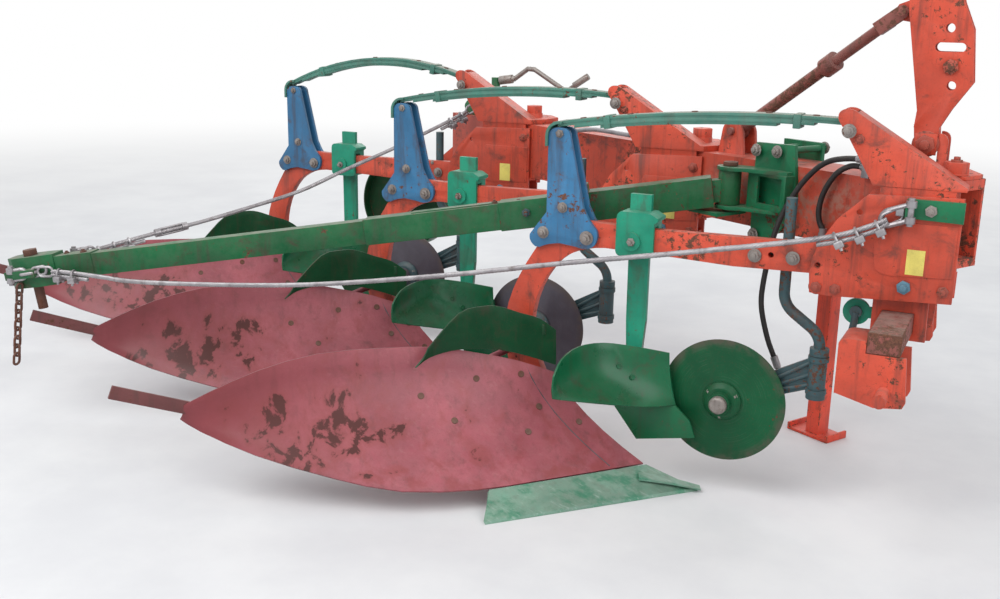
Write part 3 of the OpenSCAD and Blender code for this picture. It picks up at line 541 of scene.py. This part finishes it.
def tube(points, radius, sides=8, closed=False):
    """A round bar bent along points, as a mesh."""
    c = bpy.data.curves.new("bar", "CURVE")
    c.dimensions = "3D"
    c.bevel_depth = radius
    c.bevel_resolution = max(1, sides // 2 - 2)
    c.use_fill_caps = True
    s = c.splines.new("POLY")
    s.points.add(len(points) - 1)
    for p, q in zip(s.points, points):
        p.co = (*q, 1)
    s.use_cyclic_u = closed
    hold(new_object("bar", c))
    bpy.ops.object.convert(target="MESH")
    return bpy.context.object


def spline(a, b, c, d, t):
    """A point between b and c on a smooth line through all four."""
    return 0.5 * (2 * b + (c - a) * t + (2 * a - 5 * b + 4 * c - d) * t * t + (3 * b - a - 3 * c + d) * t ** 3)


def smooth_line(points, n=6):
    """Points on a smooth line through the given ones."""
    pts = [points[0] * 2 - points[1]] + list(points) + [points[-1] * 2 - points[-2]]
    out = [spline(*pts[i:i + 4], j / n) for i in range(len(pts) - 3) for j in range(n)]
    out.append(points[-1].copy())
    return out


def spaced(points, gap):
    """The same line with its points gap apart."""
    out = [points[0].copy()]
    left = gap
    for a, b in zip(points, points[1:]):
        d = (b - a).length
        while left <= d:
            out.append(a.lerp(b, left / d))
            left += gap
        left -= d
    if (out[-1] - points[-1]).length > gap * 0.3:
        out.append(points[-1].copy())
    return out


ROPE_STRANDS = 6
ROPE_LAY = 9.0
TURN_POINTS = 8


def wire_rope(points, radius):
    """Strands laid round the line of a rope."""
    line = spaced(points, radius * ROPE_LAY / TURN_POINTS)
    laid = []
    for s in range(ROPE_STRANDS):
        path = []
        for i, p in enumerate(line):
            run = (line[min(i + 1, len(line) - 1)] - line[max(i - 1, 0)]).normalized()
            side = run.cross(UP).normalized()
            up = side.cross(run)
            a = 2 * pi * (s / ROPE_STRANDS + i / TURN_POINTS)
            path.append(p + (side * cos(a) + up * sin(a)) * radius * 0.62)
        laid.append(tube(path, radius * 0.4, 6))
    return joined(laid)


def eye_loop(at, run, side, length, width, r):
    """A closed long link or thimble: at is its near end, run its length, side its width."""
    pts = []
    for i in range(24):
        a = 2 * pi * i / 24
        half = (length - width) / 2 * (1 if cos(a) > 0 else -1)
        pts.append(at + run * (length / 2 + half + width / 2 * cos(a)) + side * (width / 2 * sin(a)))
    return tube(pts, r, closed=True)


def shackle(at, run, side, gap, length, r):
    """A bow with its two eyes at at, opening along run, and the pin through them."""
    half = gap / 2
    pts = [at + side * half, at + side * half + run * (length - half)]
    for i in range(1, 9):
        a = pi * i / 8
        pts.append(at + run * (length - half + half * sin(a)) + side * (half * cos(a)))
    pts.append(at - side * half)
    pin = side * (half + 2.2 * r)
    parts = [tube(pts, r), tube([at - pin, at + pin], r * 1.15, 10)]
    for s in (-1, 1):
        parts.append(tube([at + side * (s * half - 1.2 * r), at + side * (s * half + 1.2 * r)], r * 1.9, 12))
    return joined(parts)


def rope_clip(at, run, up, r):
    """A saddle and bow that clamp two ropes."""
    side = run.cross(up).normalized()
    saddle = block(at + up * r * 1.5, (r * 2.6, r * 5.2, r * 2.0), (run, side, up), r * 0.3)
    bow = [at + side * (r * 1.6) + up * (r * 3.4)]
    for i in range(9):
        a = pi * i / 8
        bow.append(at + side * (r * 1.6 * cos(a)) - up * (r * 1.4 * sin(a)) - up * r * 0.3)
    bow.append(at - side * (r * 1.6) + up * (r * 3.4))
    return joined([saddle, tube(bow, r * 0.42, 6)])


# Pieces

# the finish of each carried piece, and how much its edges are rounded
CARRIED = {
    "main_beam": ("beam_paint", 1.5), "headstock": ("orange_paint", 1), "mast": ("orange_paint", 1),
    "mast_brace": ("brown_paint", 1.2), "cross_bar": ("brown_paint", 1.5), "link_pins": ("orange_paint", 0.7),
    "leaf_springs": ("teal_paint", 0.7), "spring_arms": ("blue_paint", 1), "trashboards": ("dark_green", 0.8),
    "shares": ("share_green", 0.8), "frogs": ("frog_red", 1), "coulter_stems": ("dark_iron", 0.8),
    "stand_sleeve": ("red_paint", 1), "stand_leg": ("red_paint", 1), "wheel_arm": ("orange_paint", 1),
    "depth_wheel": ("dark_green", 1), "wheel_spindle": ("arm_green", 0.8), "wheel_crank": ("zinc", 0.7),
    "press_bracket": ("bracket_green", 0.8), "press_arm": ("arm_green", 1.4), "press_tube": ("arm_green", 1),
    "press_pin": ("rusty_steel", 0.8), "stay_anchors": ("bracket_green", 0.8), "hose_block": ("rope_steel", 0.8)}
CARRIED.update({f"{name}_{k}": (paint.format(k), much) for k in UNITS for name, paint, much in (
    ("head", "orange_paint", 1), ("leg", "orange_paint", 1.6), ("mouldboard", "board_{}", 1.0),
    ("skimmer", "bright_green", 0.8), ("coulter_arm", "dark_iron", 1), ("coulter_disc", "disc_{}", 0.6))})


def repaint(o, paint, chosen):
    """Gives the chosen faces a third finish."""
    o.data.materials.append(FINISH[paint])
    for f in o.data.polygons:
        f.material_index = 2 if chosen(f.center) else 0


def rounded_copy(name):
    """A copy of a carried piece with its flats whole and its edges rounded, which stands for it."""
    source = frame["nodes"][name]
    paint, much = CARRIED[name]
    o = new_object("worn_" + name, source.data.copy())
    in_edit(o, lambda: bpy.ops.mesh.remove_doubles(threshold=0.00002),
            lambda: bpy.ops.mesh.dissolve_limited(angle_limit=radians(0.6)))
    o.data.materials.clear()
    o.data.materials.append(FINISH[paint])
    edge = FINISH.get(paint + "_edge")
    if edge:
        o.data.materials.append(edge)
    if name.startswith("mouldboard"):
        tail = unit(int(name[-1]), 0, TAIL_START_Y, 0).y
        repaint(o, "tail_iron", lambda at: at.y < tail)
    if name.startswith("skimmer"):
        repaint(o, "skimmer_green", lambda at: at.z < SKIMMER_PAINT_TOP)
    rounded(o, bpy.context.scene.plough_sizes.edge_round * much, 34, 1 if edge else 0)
    bpy.ops.object.shade_smooth_by_angle(angle=radians(32))
    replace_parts(o, name)
    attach(o, source["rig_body"])


class PLOUGH_OT_finishes(Operator):
    """Make the worn paints and metals"""
    bl_idname = "plough.finishes"
    bl_label = "Finishes"

    def execute(self, context):
        make_finishes(FINISH)
        return {"FINISHED"}


class PLOUGH_OT_camera(Operator):
    """Set up the camera at the photograph's angle"""
    bl_idname = "plough.camera"
    bl_label = "Camera"

    def execute(self, context):
        clear()
        look = Vector(CAMERA_LOOK).normalized()
        right = look.cross(UP).normalized()
        down = look.cross(right)
        c, s = cos(CAMERA_ROLL), sin(CAMERA_ROLL)
        axes = Matrix((right * c + down * s, right * s - down * c, -look))
        data = bpy.data.cameras.new("photo camera")
        data.sensor_fit = "HORIZONTAL"
        data.sensor_width = 36
        data.lens = CAMERA_LENS
        data.clip_end = 200
        o = new_object("photo camera", data)
        o.matrix_world = Matrix.Translation(CAMERA_AT) @ axes.transposed().to_4x4()
        context.scene.camera = o
        return {"FINISHED"}


LOW_ROUTE = (
    (240, 104, 1136), (262, 104, 1136), (307, 110, 1132), (356, 114, 1120), (393, 118, 1099), (426, 124, 1066),
    (453, 132, 1029), (476, 142, 984), (492, 152, 943), (502, 162, 903), (509, 172, 857), (514, 180, 807),
    (518, 186, 748), (521, 190, 700), (522, 192, 655), (518, 190, 612), (507, 184, 562), (492, 175, 508),
    (474, 164, 460))
PORT_ROUTE = (
    (240, 80, 1110), (262, 80, 1110), (294, 94, 1110), (326, 108, 1090), (350, 112, 1060), (368, 116, 1024),
    (377, 119, 990), (379, 121, 955), (373, 120, 925), (362, 118, 905), (358, 118, 892), (358, 118, 880.3))


class PLOUGH_OT_hoses(Operator):
    """Lay the hanging hose with its coupling and the hose into the beam's port"""
    bl_idname = "plough.hoses"
    bl_label = "Hoses"

    def execute(self, context):
        r = context.scene.plough_sizes.hose_r
        low = smooth_line([beam(*p) for p in LOW_ROUTE], 5)
        hose = done(tube(low, r, 16), "low_hose_rubber", "hose_rubber", angle=60)
        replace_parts(hose, "low_hose")
        port = tube(smooth_line([beam(*p) for p in PORT_ROUTE], 5), r, 16)
        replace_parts(done(port, "port_hose_rubber", "hose_rubber", angle=60), "port_hose")
        run = (low[-1] - low[-3]).normalized()
        top = low[-1] + run * 0.0005
        # ferrule, nut, nose and lip
        rings = ((0, 0.022, 0.0125, 16), (0.02, 0.04, 0.013, 6), (0.038, 0.058, 0.0095, 14),
                 (0.055, 0.06, 0.0075, 14))
        parts = [tube([top + run * a, top + run * b], radius, sides) for a, b, radius, sides in rings]
        coupling = done(rounded(joined(parts), 0.0008), "low_coupling_plug", "rope_steel")
        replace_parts(coupling, "low_coupling")
        ends = []
        for p, q in ((LOW_ROUTE[0], (264, 104, 1136)), (PORT_ROUTE[0], (264, 80, 1110)),
                     (PORT_ROUTE[-1], (358, 118, 902))):
            p = beam(*p)
            d = (beam(*q) - p).normalized()
            ends.append(tube([p + d * 0.0006, p + d * 0.026], r * 1.32, 16))
            ends.append(tube([p + d * 0.0004, p + d * 0.011], r * 1.6, 6))
        done(rounded(joined(ends), 0.0008), "hose_sleeves", "rope_steel")
        return {"FINISHED"}


class PLOUGH_OT_carried(Operator):
    """Round the edges of every carried piece and paint it"""
    bl_idname = "plough.carried"
    bl_label = "Carried pieces"

    def execute(self, context):
        for name in CARRIED:
            rounded_copy(name)
        return {"FINISHED"}


def both_sides(k, x, y, z, size, roll, far_roll):
    """The same bolt on the near and far side of body k."""
    return [(unit(k, x, -y, z), NEAR, size / 1000, roll), (unit(k, x, y, z), FAR, size / 1000, far_roll)]


HEAD_BOLTS = ((752, 50, 765, 16), (808, 50, 765, 16), (1107, 50, 794, 16), (835, 42, 1213, 14))
LEG_BOLTS = (
    (0, 44, 832, 16, 0.4, 0.2), (-158, 40, 835, 14, 0.4, 0.2), (806, 66, 1236, 14, 0.3, 0.3),
    (-89, 42, 926, 12, 0.1, 0.1), (-108, 33, 1168, 13, 0.3, 0.3))
STEM_BOLTS = ((554, -27.5, 834, 0.0145), (671, -27.5, 838, 0.0145), (640, -17.5, 880, 0.008))


class PLOUGH_OT_head_bolts(Operator):
    """Set the bolts of the heads, horns and legs"""
    bl_idname = "plough.head_bolts"
    bl_label = "Head and leg bolts"

    def execute(self, context):
        for k in UNITS:
            red = [b for x, y, z, size in HEAD_BOLTS for b in both_sides(k, x, y, z, size, x * 0.1, x * 0.1)]
            red.append((unit(k, 1106, 50, 1026), FAR, 0.016, 110.6))
            if k > 1:
                red.append((unit(k, 1106, -50, 1026), NEAR, 0.016, 0.3))
            grey = [b for row in LEG_BOLTS for b in both_sides(k, *row)]
            grey += [(unit(k, x, y, z), NEAR, size, 0.5) for x, y, z, size in STEM_BOLTS]
            bolts(red, f"head_bolts_{k}", "bolt_red")
            bolts(grey, f"leg_bolts_{k}", "zinc")
            bolts([(unit(k, 1000, -50, 795), NEAR, 0.019, 0.2)], f"blue_nut_{k}", "blue_bolt")
        return {"FINISHED"}


SPRING_REAR, SPRING_LENGTH = -135, 950
SPRING_FOOT, SPRING_RISE = 1204, 62
SPRING_ARCHES = (104, 144, 400)


def on_spring(k, x):
    """A point on top of body k's leaf spring, and the spring's run and up there."""
    def height(x):
        u = (x - SPRING_REAR) / SPRING_LENGTH
        return SPRING_FOOT + SPRING_RISE * u + SPRING_ARCHES[k - 1] * u * (1 - u)
    run = Vector((1, 0, (height(x + 5) - height(x - 5)) / 10)).normalized()
    return unit(k, x, 0, height(x)), run, Vector((-run.z, 0, run.x))


class PLOUGH_OT_spring_bolts(Operator):
    """Set the round bolt heads and bands of the leaf springs"""
    bl_idname = "plough.spring_bolts"
    bl_label = "Spring bolts"

    def execute(self, context):
        for k in UNITS:
            tops = [on_spring(k, x) for x in (-40, 120, 330, 560, 700)]
            flat_bolts([(at + up * 0.0005, up, 0.01, 0) for at, run, up in tops], f"spring_bolts_{k}")
            bands = [block(at - up * 0.018, (0.022, 0.068, 0.043), (run, FAR, up))
                     for at, run, up in (on_spring(k, 50), on_spring(k, 650))]
            done(joined(bands), f"spring_bands_{k}", "teal_paint")
        return {"FINISHED"}


# foot, top and hollow of the mouldboard's face at each station, from the shin to the tail
BOARD_LINES = (
    ((226, 0, 66), (-112, 0, 338), 0.25), ((91, -158, 65), (-215, -95, 392), 0.16),
    ((-36, -306, 65), (-330, -200, 432), 0.08), ((-169, -462, 69), (-429, -289, 458), 0.02),
    ((-363, -615, 82), (-560, -408, 467), 0), ((-565, -705, 120), (-720, -553, 461), 0),
    ((-800, -785, 178), (-860, -681, 418), 0), ((-985, -820, 232), (-972, -790, 358), 0))
LAST_LINE = len(BOARD_LINES) - 1


def board_line(i, t):
    """A point at t, 0 at the foot and 1 at the top, on one station of the mouldboard."""
    foot, top, hollow = BOARD_LINES[max(0, min(LAST_LINE, i))]
    a, c = Vector(foot), Vector(top)
    b = Vector((c.x + (a.x - c.x) * hollow, c.y + (a.y - c.y) * hollow, (a.z + c.z) / 2))
    return (1 - t) ** 2 * a + 2 * t * (1 - t) * b + t * t * c


def board_point(s, t):
    i = int(min(s, LAST_LINE - 0.001))
    return spline(*(board_line(i + j, t) for j in (-1, 0, 1, 2)), s - i)


def on_board(s, t):
    """A point on the mouldboard's face, s from shin to tail and t from foot to top, and the way it faces."""
    along = board_point(s + 0.05, t) - board_point(s - 0.05, t)
    out = along.cross(board_point(s, t + 0.05) - board_point(s, t - 0.05)).normalized()
    return board_point(s, t), -out if out.y > 0 else out


BOARD_BOLTS = (
    (0.35, 0.72), (0.4, 0.42), (0.95, 0.55), (1.0, 0.86), (1.5, 0.33), (2.05, 0.76), (2.9, 0.42), (3.4, 0.6))
SHARE_BOLTS = ((60, -120, 63), (-70, -290, 63), (130, -60, 60))
POINT_BACK, POINT_TIP = Vector((232, -70, 42)), Vector((424, 16, 8))


def share_point():
    """The chisel point over the front of a share, in millimetres: it narrows and thins to its tip."""
    o = block(Vector(), (1, 1, 1), edge=0)
    in_edit(o, lambda: bpy.ops.mesh.subdivide(number_cuts=3))
    length = (POINT_TIP - POINT_BACK).length
    run = (POINT_TIP - POINT_BACK).normalized()
    side = UP.cross(run).normalized()
    up = run.cross(side)
    for v in o.data.vertices:
        x, y, z = v.co.x + 0.5, v.co.y, v.co.z
        across = y * (62 - 26 * x) + 6 * (1 - x)
        above = z * (11 - 7 * x) + 5 - 1.5 * x + 3 * sin(pi * x)
        v.co = POINT_BACK + run * (x * length) + side * across + up * above
    return o


class PLOUGH_OT_boards(Operator):
    """Fit the mouldboards' bolts and shin seams and the shares' chisel points"""
    bl_idname = "plough.boards"
    bl_label = "Mouldboard details"

    def execute(self, context):
        for k in UNITS:
            faces = [on_board(s, t) for s, t in BOARD_BOLTS]
            flat_bolts([(unit(k, *(p + out * 0.3)), out, 0.0115, 0) for p, out in faces], f"board_bolts_{k}")
            faces = [on_board(0.62 + 0.18 * i / 14, 0.02 + 0.93 * i / 14) for i in range(15)]
            done(tube([unit(k, *(p + out * 0.2)) for p, out in faces], 0.0016, 6), f"shin_seam_{k}", "dark_iron")
            tip = share_point()
            tip.data.transform(Matrix.Translation(unit(k, 0, 0, 0)) @ Matrix.Diagonal((0.001, 0.001, 0.001, 1)))
            done(rounded(tip, 0.0015), f"share_point_{k}", "share_green")
            flat_bolts([(unit(k, *p), (0.25, -0.28, 0.92), 0.0095, 0) for p in SHARE_BOLTS], f"share_bolts_{k}")
            flat_bolts([(unit(k, 150, -76, 424), (0.55, -0.8, 0.2), 0.009, 0),
                        (unit(k, 196, -70, 392), (0.55, -0.8, 0.2), 0.009, 0),
                        (unit(k, -232, -90, 500), (0.5, -0.8, 0.25), 0.009, 0)],
                       f"skimmer_bolts_{k}", "skimmer_green")
        return {"FINISHED"}


WEB_REAR, WEB_FRONT = 515, 750
RIBS = (((530, 352), (748, 498)), ((530, 348), (748, 420)), ((560, 360), (748, 456)))
COLLAR_X, COLLARS_Z = 764, (512, 404)


def coulter_web(k):
    """The ribbed web between the two struts of the coulter arm, with the collars on the stem."""
    clear()
    bpy.ops.mesh.primitive_plane_add(size=1)
    web = bpy.context.object
    in_edit(web, lambda: bpy.ops.mesh.subdivide(number_cuts=2))
    for v in web.data.vertices:
        u, w = v.co.x + 0.5, v.co.y + 0.5
        low, high = 340 + 72 * u, 352 + 156 * u
        v.co = unit(k, WEB_REAR + (WEB_FRONT - WEB_REAR) * u, 63, low + (high - low) * w)
    applied(web, "SOLIDIFY", thickness=0.006, offset=0)
    in_edit(web, lambda: bpy.ops.mesh.normals_make_consistent(inside=False))
    parts = [web]
    for (x, z), (to_x, to_z) in RIBS:
        parts.append(tube([unit(k, x, 60, z), unit(k, to_x, 60, to_z)], 0.0065, 10))
    for z in COLLARS_Z:
        parts.append(tube([unit(k, COLLAR_X, 52, z - 8), unit(k, COLLAR_X, 52, z + 8)], 0.0325, 28))
    return rounded(joined(parts), 0.0012, 40)


class PLOUGH_OT_hubs(Operator):
    """Fit the flange, cap and bolts to each disc's hub, and the web to each coulter arm"""
    bl_idname = "plough.hubs"
    bl_label = "Disc hubs"

    def execute(self, context):
        for k in UNITS:
            body = f"disc_{k}"
            flange = inset_top(cylinder(40, 0.064, 0.009), 0.017, 0.014)
            flange.data.transform(aimed(unit(k, HUB_X, 23, HUB_Z), NEAR))
            paint, slot = ("disc_1", "disc_green") if k == 1 else ("dark_iron", "disc_grey")
            done(rounded(flange, 0.002), f"hub_flange_{k}", paint, body)
            cap = inset_top(cylinder(32, 0.029, 0.018), 0.007, 0.006)
            cap.data.transform(aimed(unit(k, HUB_X, -24, HUB_Z), NEAR))
            done(rounded(cap, 0.0015, 35), f"hub_cap_{k}", "zinc", body=body)
            done(coulter_web(k), f"coulter_web_{k}", "dark_iron", body=f"swivel_{k}")
            turns = [2 * pi * i / 3 + 0.5 for i in range(3)]
            bolts([(unit(k, HUB_X + 51 * cos(a), 16, HUB_Z + 51 * sin(a)), NEAR, 0.008, a) for a in turns],
                  f"hub_bolts_{k}", "zinc", 0.5, body)
        return {"FINISHED"}


class PLOUGH_OT_stickers(Operator):
    """Stick a blank yellow sticker on each head"""
    bl_idname = "plough.stickers"
    bl_label = "Stickers"

    def execute(self, context):
        for k in UNITS:
            label = block(unit(k, 1024, -54.6, 872), (0.05, 0.0012, 0.074), edge=0.0004)
            done(label, f"sticker_{k}", "sticker")
        return {"FINISHED"}


FRONT_STAY = (
    (980, -74.6, 1020), (895, -88, 972), (761, -108, 925), (390, -164, 853), (20, -220, 788), (-378, -280, 712),
    (-808, -346, 642), (-1114, -392, 608), (-1457, -444, 583), (-1624, -469, 577), (-1728, -485, 582),
    (-1880, -517, 588), (-1984.2, -545, 583))
REAR_STAY = (
    (-1950.5, -378.8, 621.2), (-1926, -337, 628), (-1866, -235, 650), (-1811, -141, 670), (-1706, 37, 703),
    (-1597, 220, 747), (-1484, 412, 798), (-1377, 593, 874), (-1256, 798, 956), (-1145, 986, 1039),
    (-1091, 1076, 1082), (-1035, 1171.5, 1130))


class PLOUGH_OT_stays(Operator):
    """Lay the two wire stays with their thimbles, clips and shackles"""
    bl_idname = "plough.stays"
    bl_label = "Wire stays"

    def execute(self, context):
        r = context.scene.plough_sizes.rope_r
        for name, route in (("front_stay", FRONT_STAY), ("rear_stay", REAR_STAY)):
            line = smooth_line([unit(1, *p) for p in route])
            hard = []
            a_run = (line[1] - line[0]).normalized()
            b_run = (line[-2] - line[-1]).normalized()
            # the wire runs between its thimbles
            whole = spaced(line, 0.01)
            inner = [p for p in whole if (p - line[0]).length > 0.045 and (p - line[-1]).length > 0.06]
            rope = wire_rope(inner, r)
            # each end comes back beside the wire
            for end, run, back in ((line[0], a_run, inner[:22]), (line[-1], b_run, inner[::-1][:16])):
                up = run.cross(UP).normalized().cross(run)
                hard.append(eye_loop(end + run * 0.004, run, up, 0.062, 0.036, r * 0.62))
                tail = [p - up * (r * 2.1 * min(1, 0.55 + i / 8)) for i, p in enumerate(back)]
                rope = joined([rope, wire_rope(tail, r * 0.92)])
                for i in (3, 9, 15):
                    if i < len(back) - 1:
                        hard.append(rope_clip(back[i] - up * r, run, -up, r * 1.25))
            if name == "front_stay":
                foot = unit(1, 1000, -86, 1022)
                hard.append(shackle(foot, (line[2] - foot).normalized(), UP, 0.046, 0.088, 0.008))
                hard.append(block(unit(1, 971, -75, 1020), (0.024, 0.022, 0.026), edge=0.004))
            else:
                hard.append(shackle(line[0] - a_run * 0.012, a_run, UP, 0.034, 0.052, 0.0075))
                fifth = len(whole) // 5
                mid = whole[fifth]
                ahead = (whole[fifth + 2] - mid).normalized()
                for s in (-0.013, 0.013):
                    hard.append(tube([mid - ahead * 0.05 + UP * s, mid + ahead * 0.05 + UP * s], 0.0045))
                for s in (-1, 1):
                    hard.append(tube([mid + ahead * (0.044 * s), mid + ahead * (0.066 * s)], 0.0165, 12))
            done(rope, name + "_wire", "rope_steel", angle=60)
            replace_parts(rope, name)
            done(joined(hard), name + "_fittings", "rope_steel", angle=45)
        return {"FINISHED"}


class PLOUGH_OT_press_fittings(Operator):
    """Fit the shackles, links, chain, straps and adjuster of the press arm"""
    bl_idname = "plough.press_fittings"
    bl_label = "Press arm fittings"

    def execute(self, context):
        # shackle and links between the front stay and the end block
        end = unit(1, *FRONT_STAY[-1])
        start = arm(2640, 76, 0)
        run = (end - start).normalized()
        side = run.cross(UP).normalized()
        parts = [shackle(start, run, UP, 0.036, 0.058, 0.0085),
                 eye_loop(start + run * 0.04, run, side, 0.06, 0.034, 0.0065),
                 eye_loop(start + run * 0.082, run, UP, 0.058, 0.032, 0.0065)]
        done(joined(parts), "stay_links", "rope_steel", angle=60)
        # rusty chain that hangs from the end block
        links = []
        for i in range(9):
            at = arm(2618, 68, -34) + i * Vector((-0.004, -0.002, -0.034))
            across = Vector((1, 0, 0)) if i % 2 else FAR
            links.append(eye_loop(at, Vector((-0.12, -0.06, -1)).normalized(), across, 0.046, 0.026, 0.0048))
        done(joined(links), "end_chain", "rusty_steel", angle=60)
        # cap bolts, set-screw and strap on the arm
        bolts([(arm(715, 12, 41), ARM_UP, 0.012, 0.3), (arm(800, 10, 51), ARM_UP, 0.009, 0.1),
               (arm(2370, 8, 48), ARM_UP, 0.012, 0.1), (arm(2450, -12, 48), ARM_UP, 0.01, 0.1)],
              "arm_bolts", "rusty_steel")
        bolts([(arm(690, 40, 6), ARM_SIDE, 0.014, 0.2)], "arm_screw", "dark_iron", stub=1.2)
        strap = block(arm(950, 0, 46), (0.3, 0.04, 0.008), (ARM_RUN, ARM_SIDE, ARM_UP))
        done(strap, "arm_strap", "arm_green")
        # handle rod behind the spring arm
        rod = [beam(1624, 120, 1090), beam(1512, 120, 1106), beam(1445, 120, 1108), beam(1264, 112, 1104)]
        done(tube(smooth_line(rod, 5), 0.009, 12), "grey_handle", "rope_steel", angle=60)
        # adjuster beside the near cheek: flange with its ear, screw, boss and nut
        flange = tube([unit(1, 868, 22, 690), unit(1, 868, 8, 690)], 0.04, 28)
        ear = block(unit(1, 902, 11, 692), (0.074, 0.0075, 0.036), edge=0)
        done(rounded(joined([flange, ear]), 0.002, 40), "adjuster_flange", "bright_green")
        parts = [tube([unit(1, 868, -2, 692), unit(1, 866, 0, 660), unit(1, 856, 12, 600)], 0.011, 14),
                 tube([unit(1, 868, 22, 690), unit(1, 868, -6, 692)], 0.018, 18),
                 tube([unit(1, 857, 11, 606), unit(1, 853, 14, 584)], 0.019, 6)]
        done(rounded(joined(parts), 0.0012, 40), "adjuster_screw", "dark_iron")
        return {"FINISHED"}


class PLOUGH_OT_bracket_bolts(Operator):
    """Set the nuts of the press bracket, skimmer clamps, stay anchors and linkage"""
    bl_idname = "plough.bracket_bolts"
    bl_label = "Bracket and clamp bolts"

    def execute(self, context):
        bolts([(beam(x, s * 124, z), s * BEAM_NEAR, 0.014, 0.3)
               for x, z in ((659, 1120), (570, 1124), (646, 838)) for s in (1, -1)],
              "bracket_bolts", "zinc")
        for k in UNITS:
            bolts([(unit(k, CLAMP_X, -43, CLAMP_Z), NEAR, 0.013, 0.6)], f"clamp_bolts_{k}", "zinc", 0.8)
            boss = tube([unit(k, CLAMP_X, -28, CLAMP_Z), unit(k, CLAMP_X, -42, CLAMP_Z)], 0.03, 28)
            done(rounded(boss, 0.004, 40), f"clamp_boss_{k}", "bright_green")
        bolts([(unit(1, 1052, -62.5, 1026), NEAR, 0.016, 0.2)], "anchor_bolt", "zinc")
        bolts([(unit(1, 1043, 129, 1419), NEAR, 0.021, 0.2), (unit(1, 1000, 100, 1195), NEAR, 0.026, 0.2),
               (unit(1, 1000, 230, 1195), FAR, 0.026, 0.2), (beam(0, 0, BEAM_TOP + 70), UP, 0.017, 0.1)],
              "mast_bolts", "bolt_red")
        return {"FINISHED"}


LAMPS = (
    ("key light", (-1.5, -4.5, 6.0), 5.0, 330), ("fill light", (5.5, -3.0, 4.0), 4.0, 120),
    ("back light", (-2.0, 6.0, 5.0), 5.0, 160))


def shared(tree, factor, first, second, output):
    """Mixes two shaders by a factor into the tree's output."""
    both = node(tree, "MixShader")
    for i, socket in enumerate((factor, first.outputs[0], second.outputs[0])):
        tree.links.new(socket, both.inputs[i])
    tree.links.new(both.outputs[0], tree.nodes[output].inputs[0])


class PLOUGH_OT_stage(Operator):
    """Set up the pale floor, the soft lights and the white background"""
    bl_idname = "plough.stage"
    bl_label = "Stage"

    def execute(self, context):
        scene = context.scene
        scene.view_settings.view_transform = "Standard"
        clear()
        bpy.ops.mesh.primitive_plane_add(size=60, location=(0, 0, -0.0005))
        floor = bpy.context.object
        floor.name = "pale_floor"
        m = bpy.data.materials.new("pale floor")
        m.use_nodes = True
        t = m.node_tree
        shader = t.nodes["Principled BSDF"]
        shader.inputs["Roughness"].default_value = 0.9
        where = place(t)
        tone = mixed(t, step(t, noise(t, where, 1.5, 8, 0.6), 0.3, 0.7), (0.66, 0.66, 0.67), (0.74, 0.74, 0.74))
        t.links.new(tone, shader.inputs["Base Color"])
        # the floor fades to white far out, for the camera alone
        seen = node(t, "LightPath").outputs["Is Camera Ray"]
        fade = times(t, step(t, distance(t, where), 2.5, 12.0), seen)
        shared(t, fade, shader, node(t, "Emission"), "Material Output")
        floor.data.materials.append(m)
        for name, at, size, power in LAMPS:
            data = bpy.data.lights.new(name, "AREA")
            data.size = size
            data.energy = power
            o = new_object(name, data)
            o.matrix_world = aimed(Vector(at), Vector(at) - Vector((0, 0, 0.5)))
        world = bpy.data.worlds.new("studio")
        world.use_nodes = True
        scene.world = world
        t = world.node_tree
        soft = t.nodes["Background"]
        soft.inputs["Color"].default_value = (0.93, 0.96, 1.0, 1)
        soft.inputs["Strength"].default_value = 0.62
        white = node(t, "Background")
        white.inputs["Color"].default_value = (1, 1, 1, 1)
        rays = node(t, "LightPath").outputs
        seen = plus(t, rays["Is Camera Ray"], rays["Is Glossy Ray"])
        shared(t, plus(t, seen, rays["Is Transmission Ray"], True), soft, white, "World Output")
        return {"FINISHED"}


class PLOUGH_PT_panel(Panel):
    """Sizes, colours and pieces of the plough"""
    bl_idname = "PLOUGH_PT_panel"
    bl_label = "Plough"
    bl_space_type = "VIEW_3D"
    bl_region_type = "UI"
    bl_category = "Plough"

    def draw(self, context):
        for group in (context.scene.plough_sizes, context.scene.plough_colours):
            column = self.layout.column()
            for key in group.__annotations__:
                column.prop(group, key)
        for piece in PIECES:
            self.layout.operator(piece.bl_idname)


PIECES = (
    PLOUGH_OT_finishes, PLOUGH_OT_camera, PLOUGH_OT_hoses, PLOUGH_OT_carried, PLOUGH_OT_head_bolts,
    PLOUGH_OT_spring_bolts, PLOUGH_OT_boards, PLOUGH_OT_hubs, PLOUGH_OT_stickers, PLOUGH_OT_stays,
    PLOUGH_OT_press_fittings, PLOUGH_OT_bracket_bolts, PLOUGH_OT_stage)
CLASSES = (PloughColours, PloughSizes, *PIECES, PLOUGH_PT_panel)


def register():
    for c in CLASSES:
        bpy.utils.register_class(c)
    bpy.types.Scene.plough_colours = bpy.props.PointerProperty(type=PloughColours)
    bpy.types.Scene.plough_sizes = bpy.props.PointerProperty(type=PloughSizes)


def unregister():
    del bpy.types.Scene.plough_colours
    del bpy.types.Scene.plough_sizes
    for c in reversed(CLASSES):
        bpy.utils.unregister_class(c)


def main():
    register()
    for piece in PIECES:
        getattr(bpy.ops.plough, piece.bl_idname.split(".")[1])()


if __name__ == "__main__":
    main()
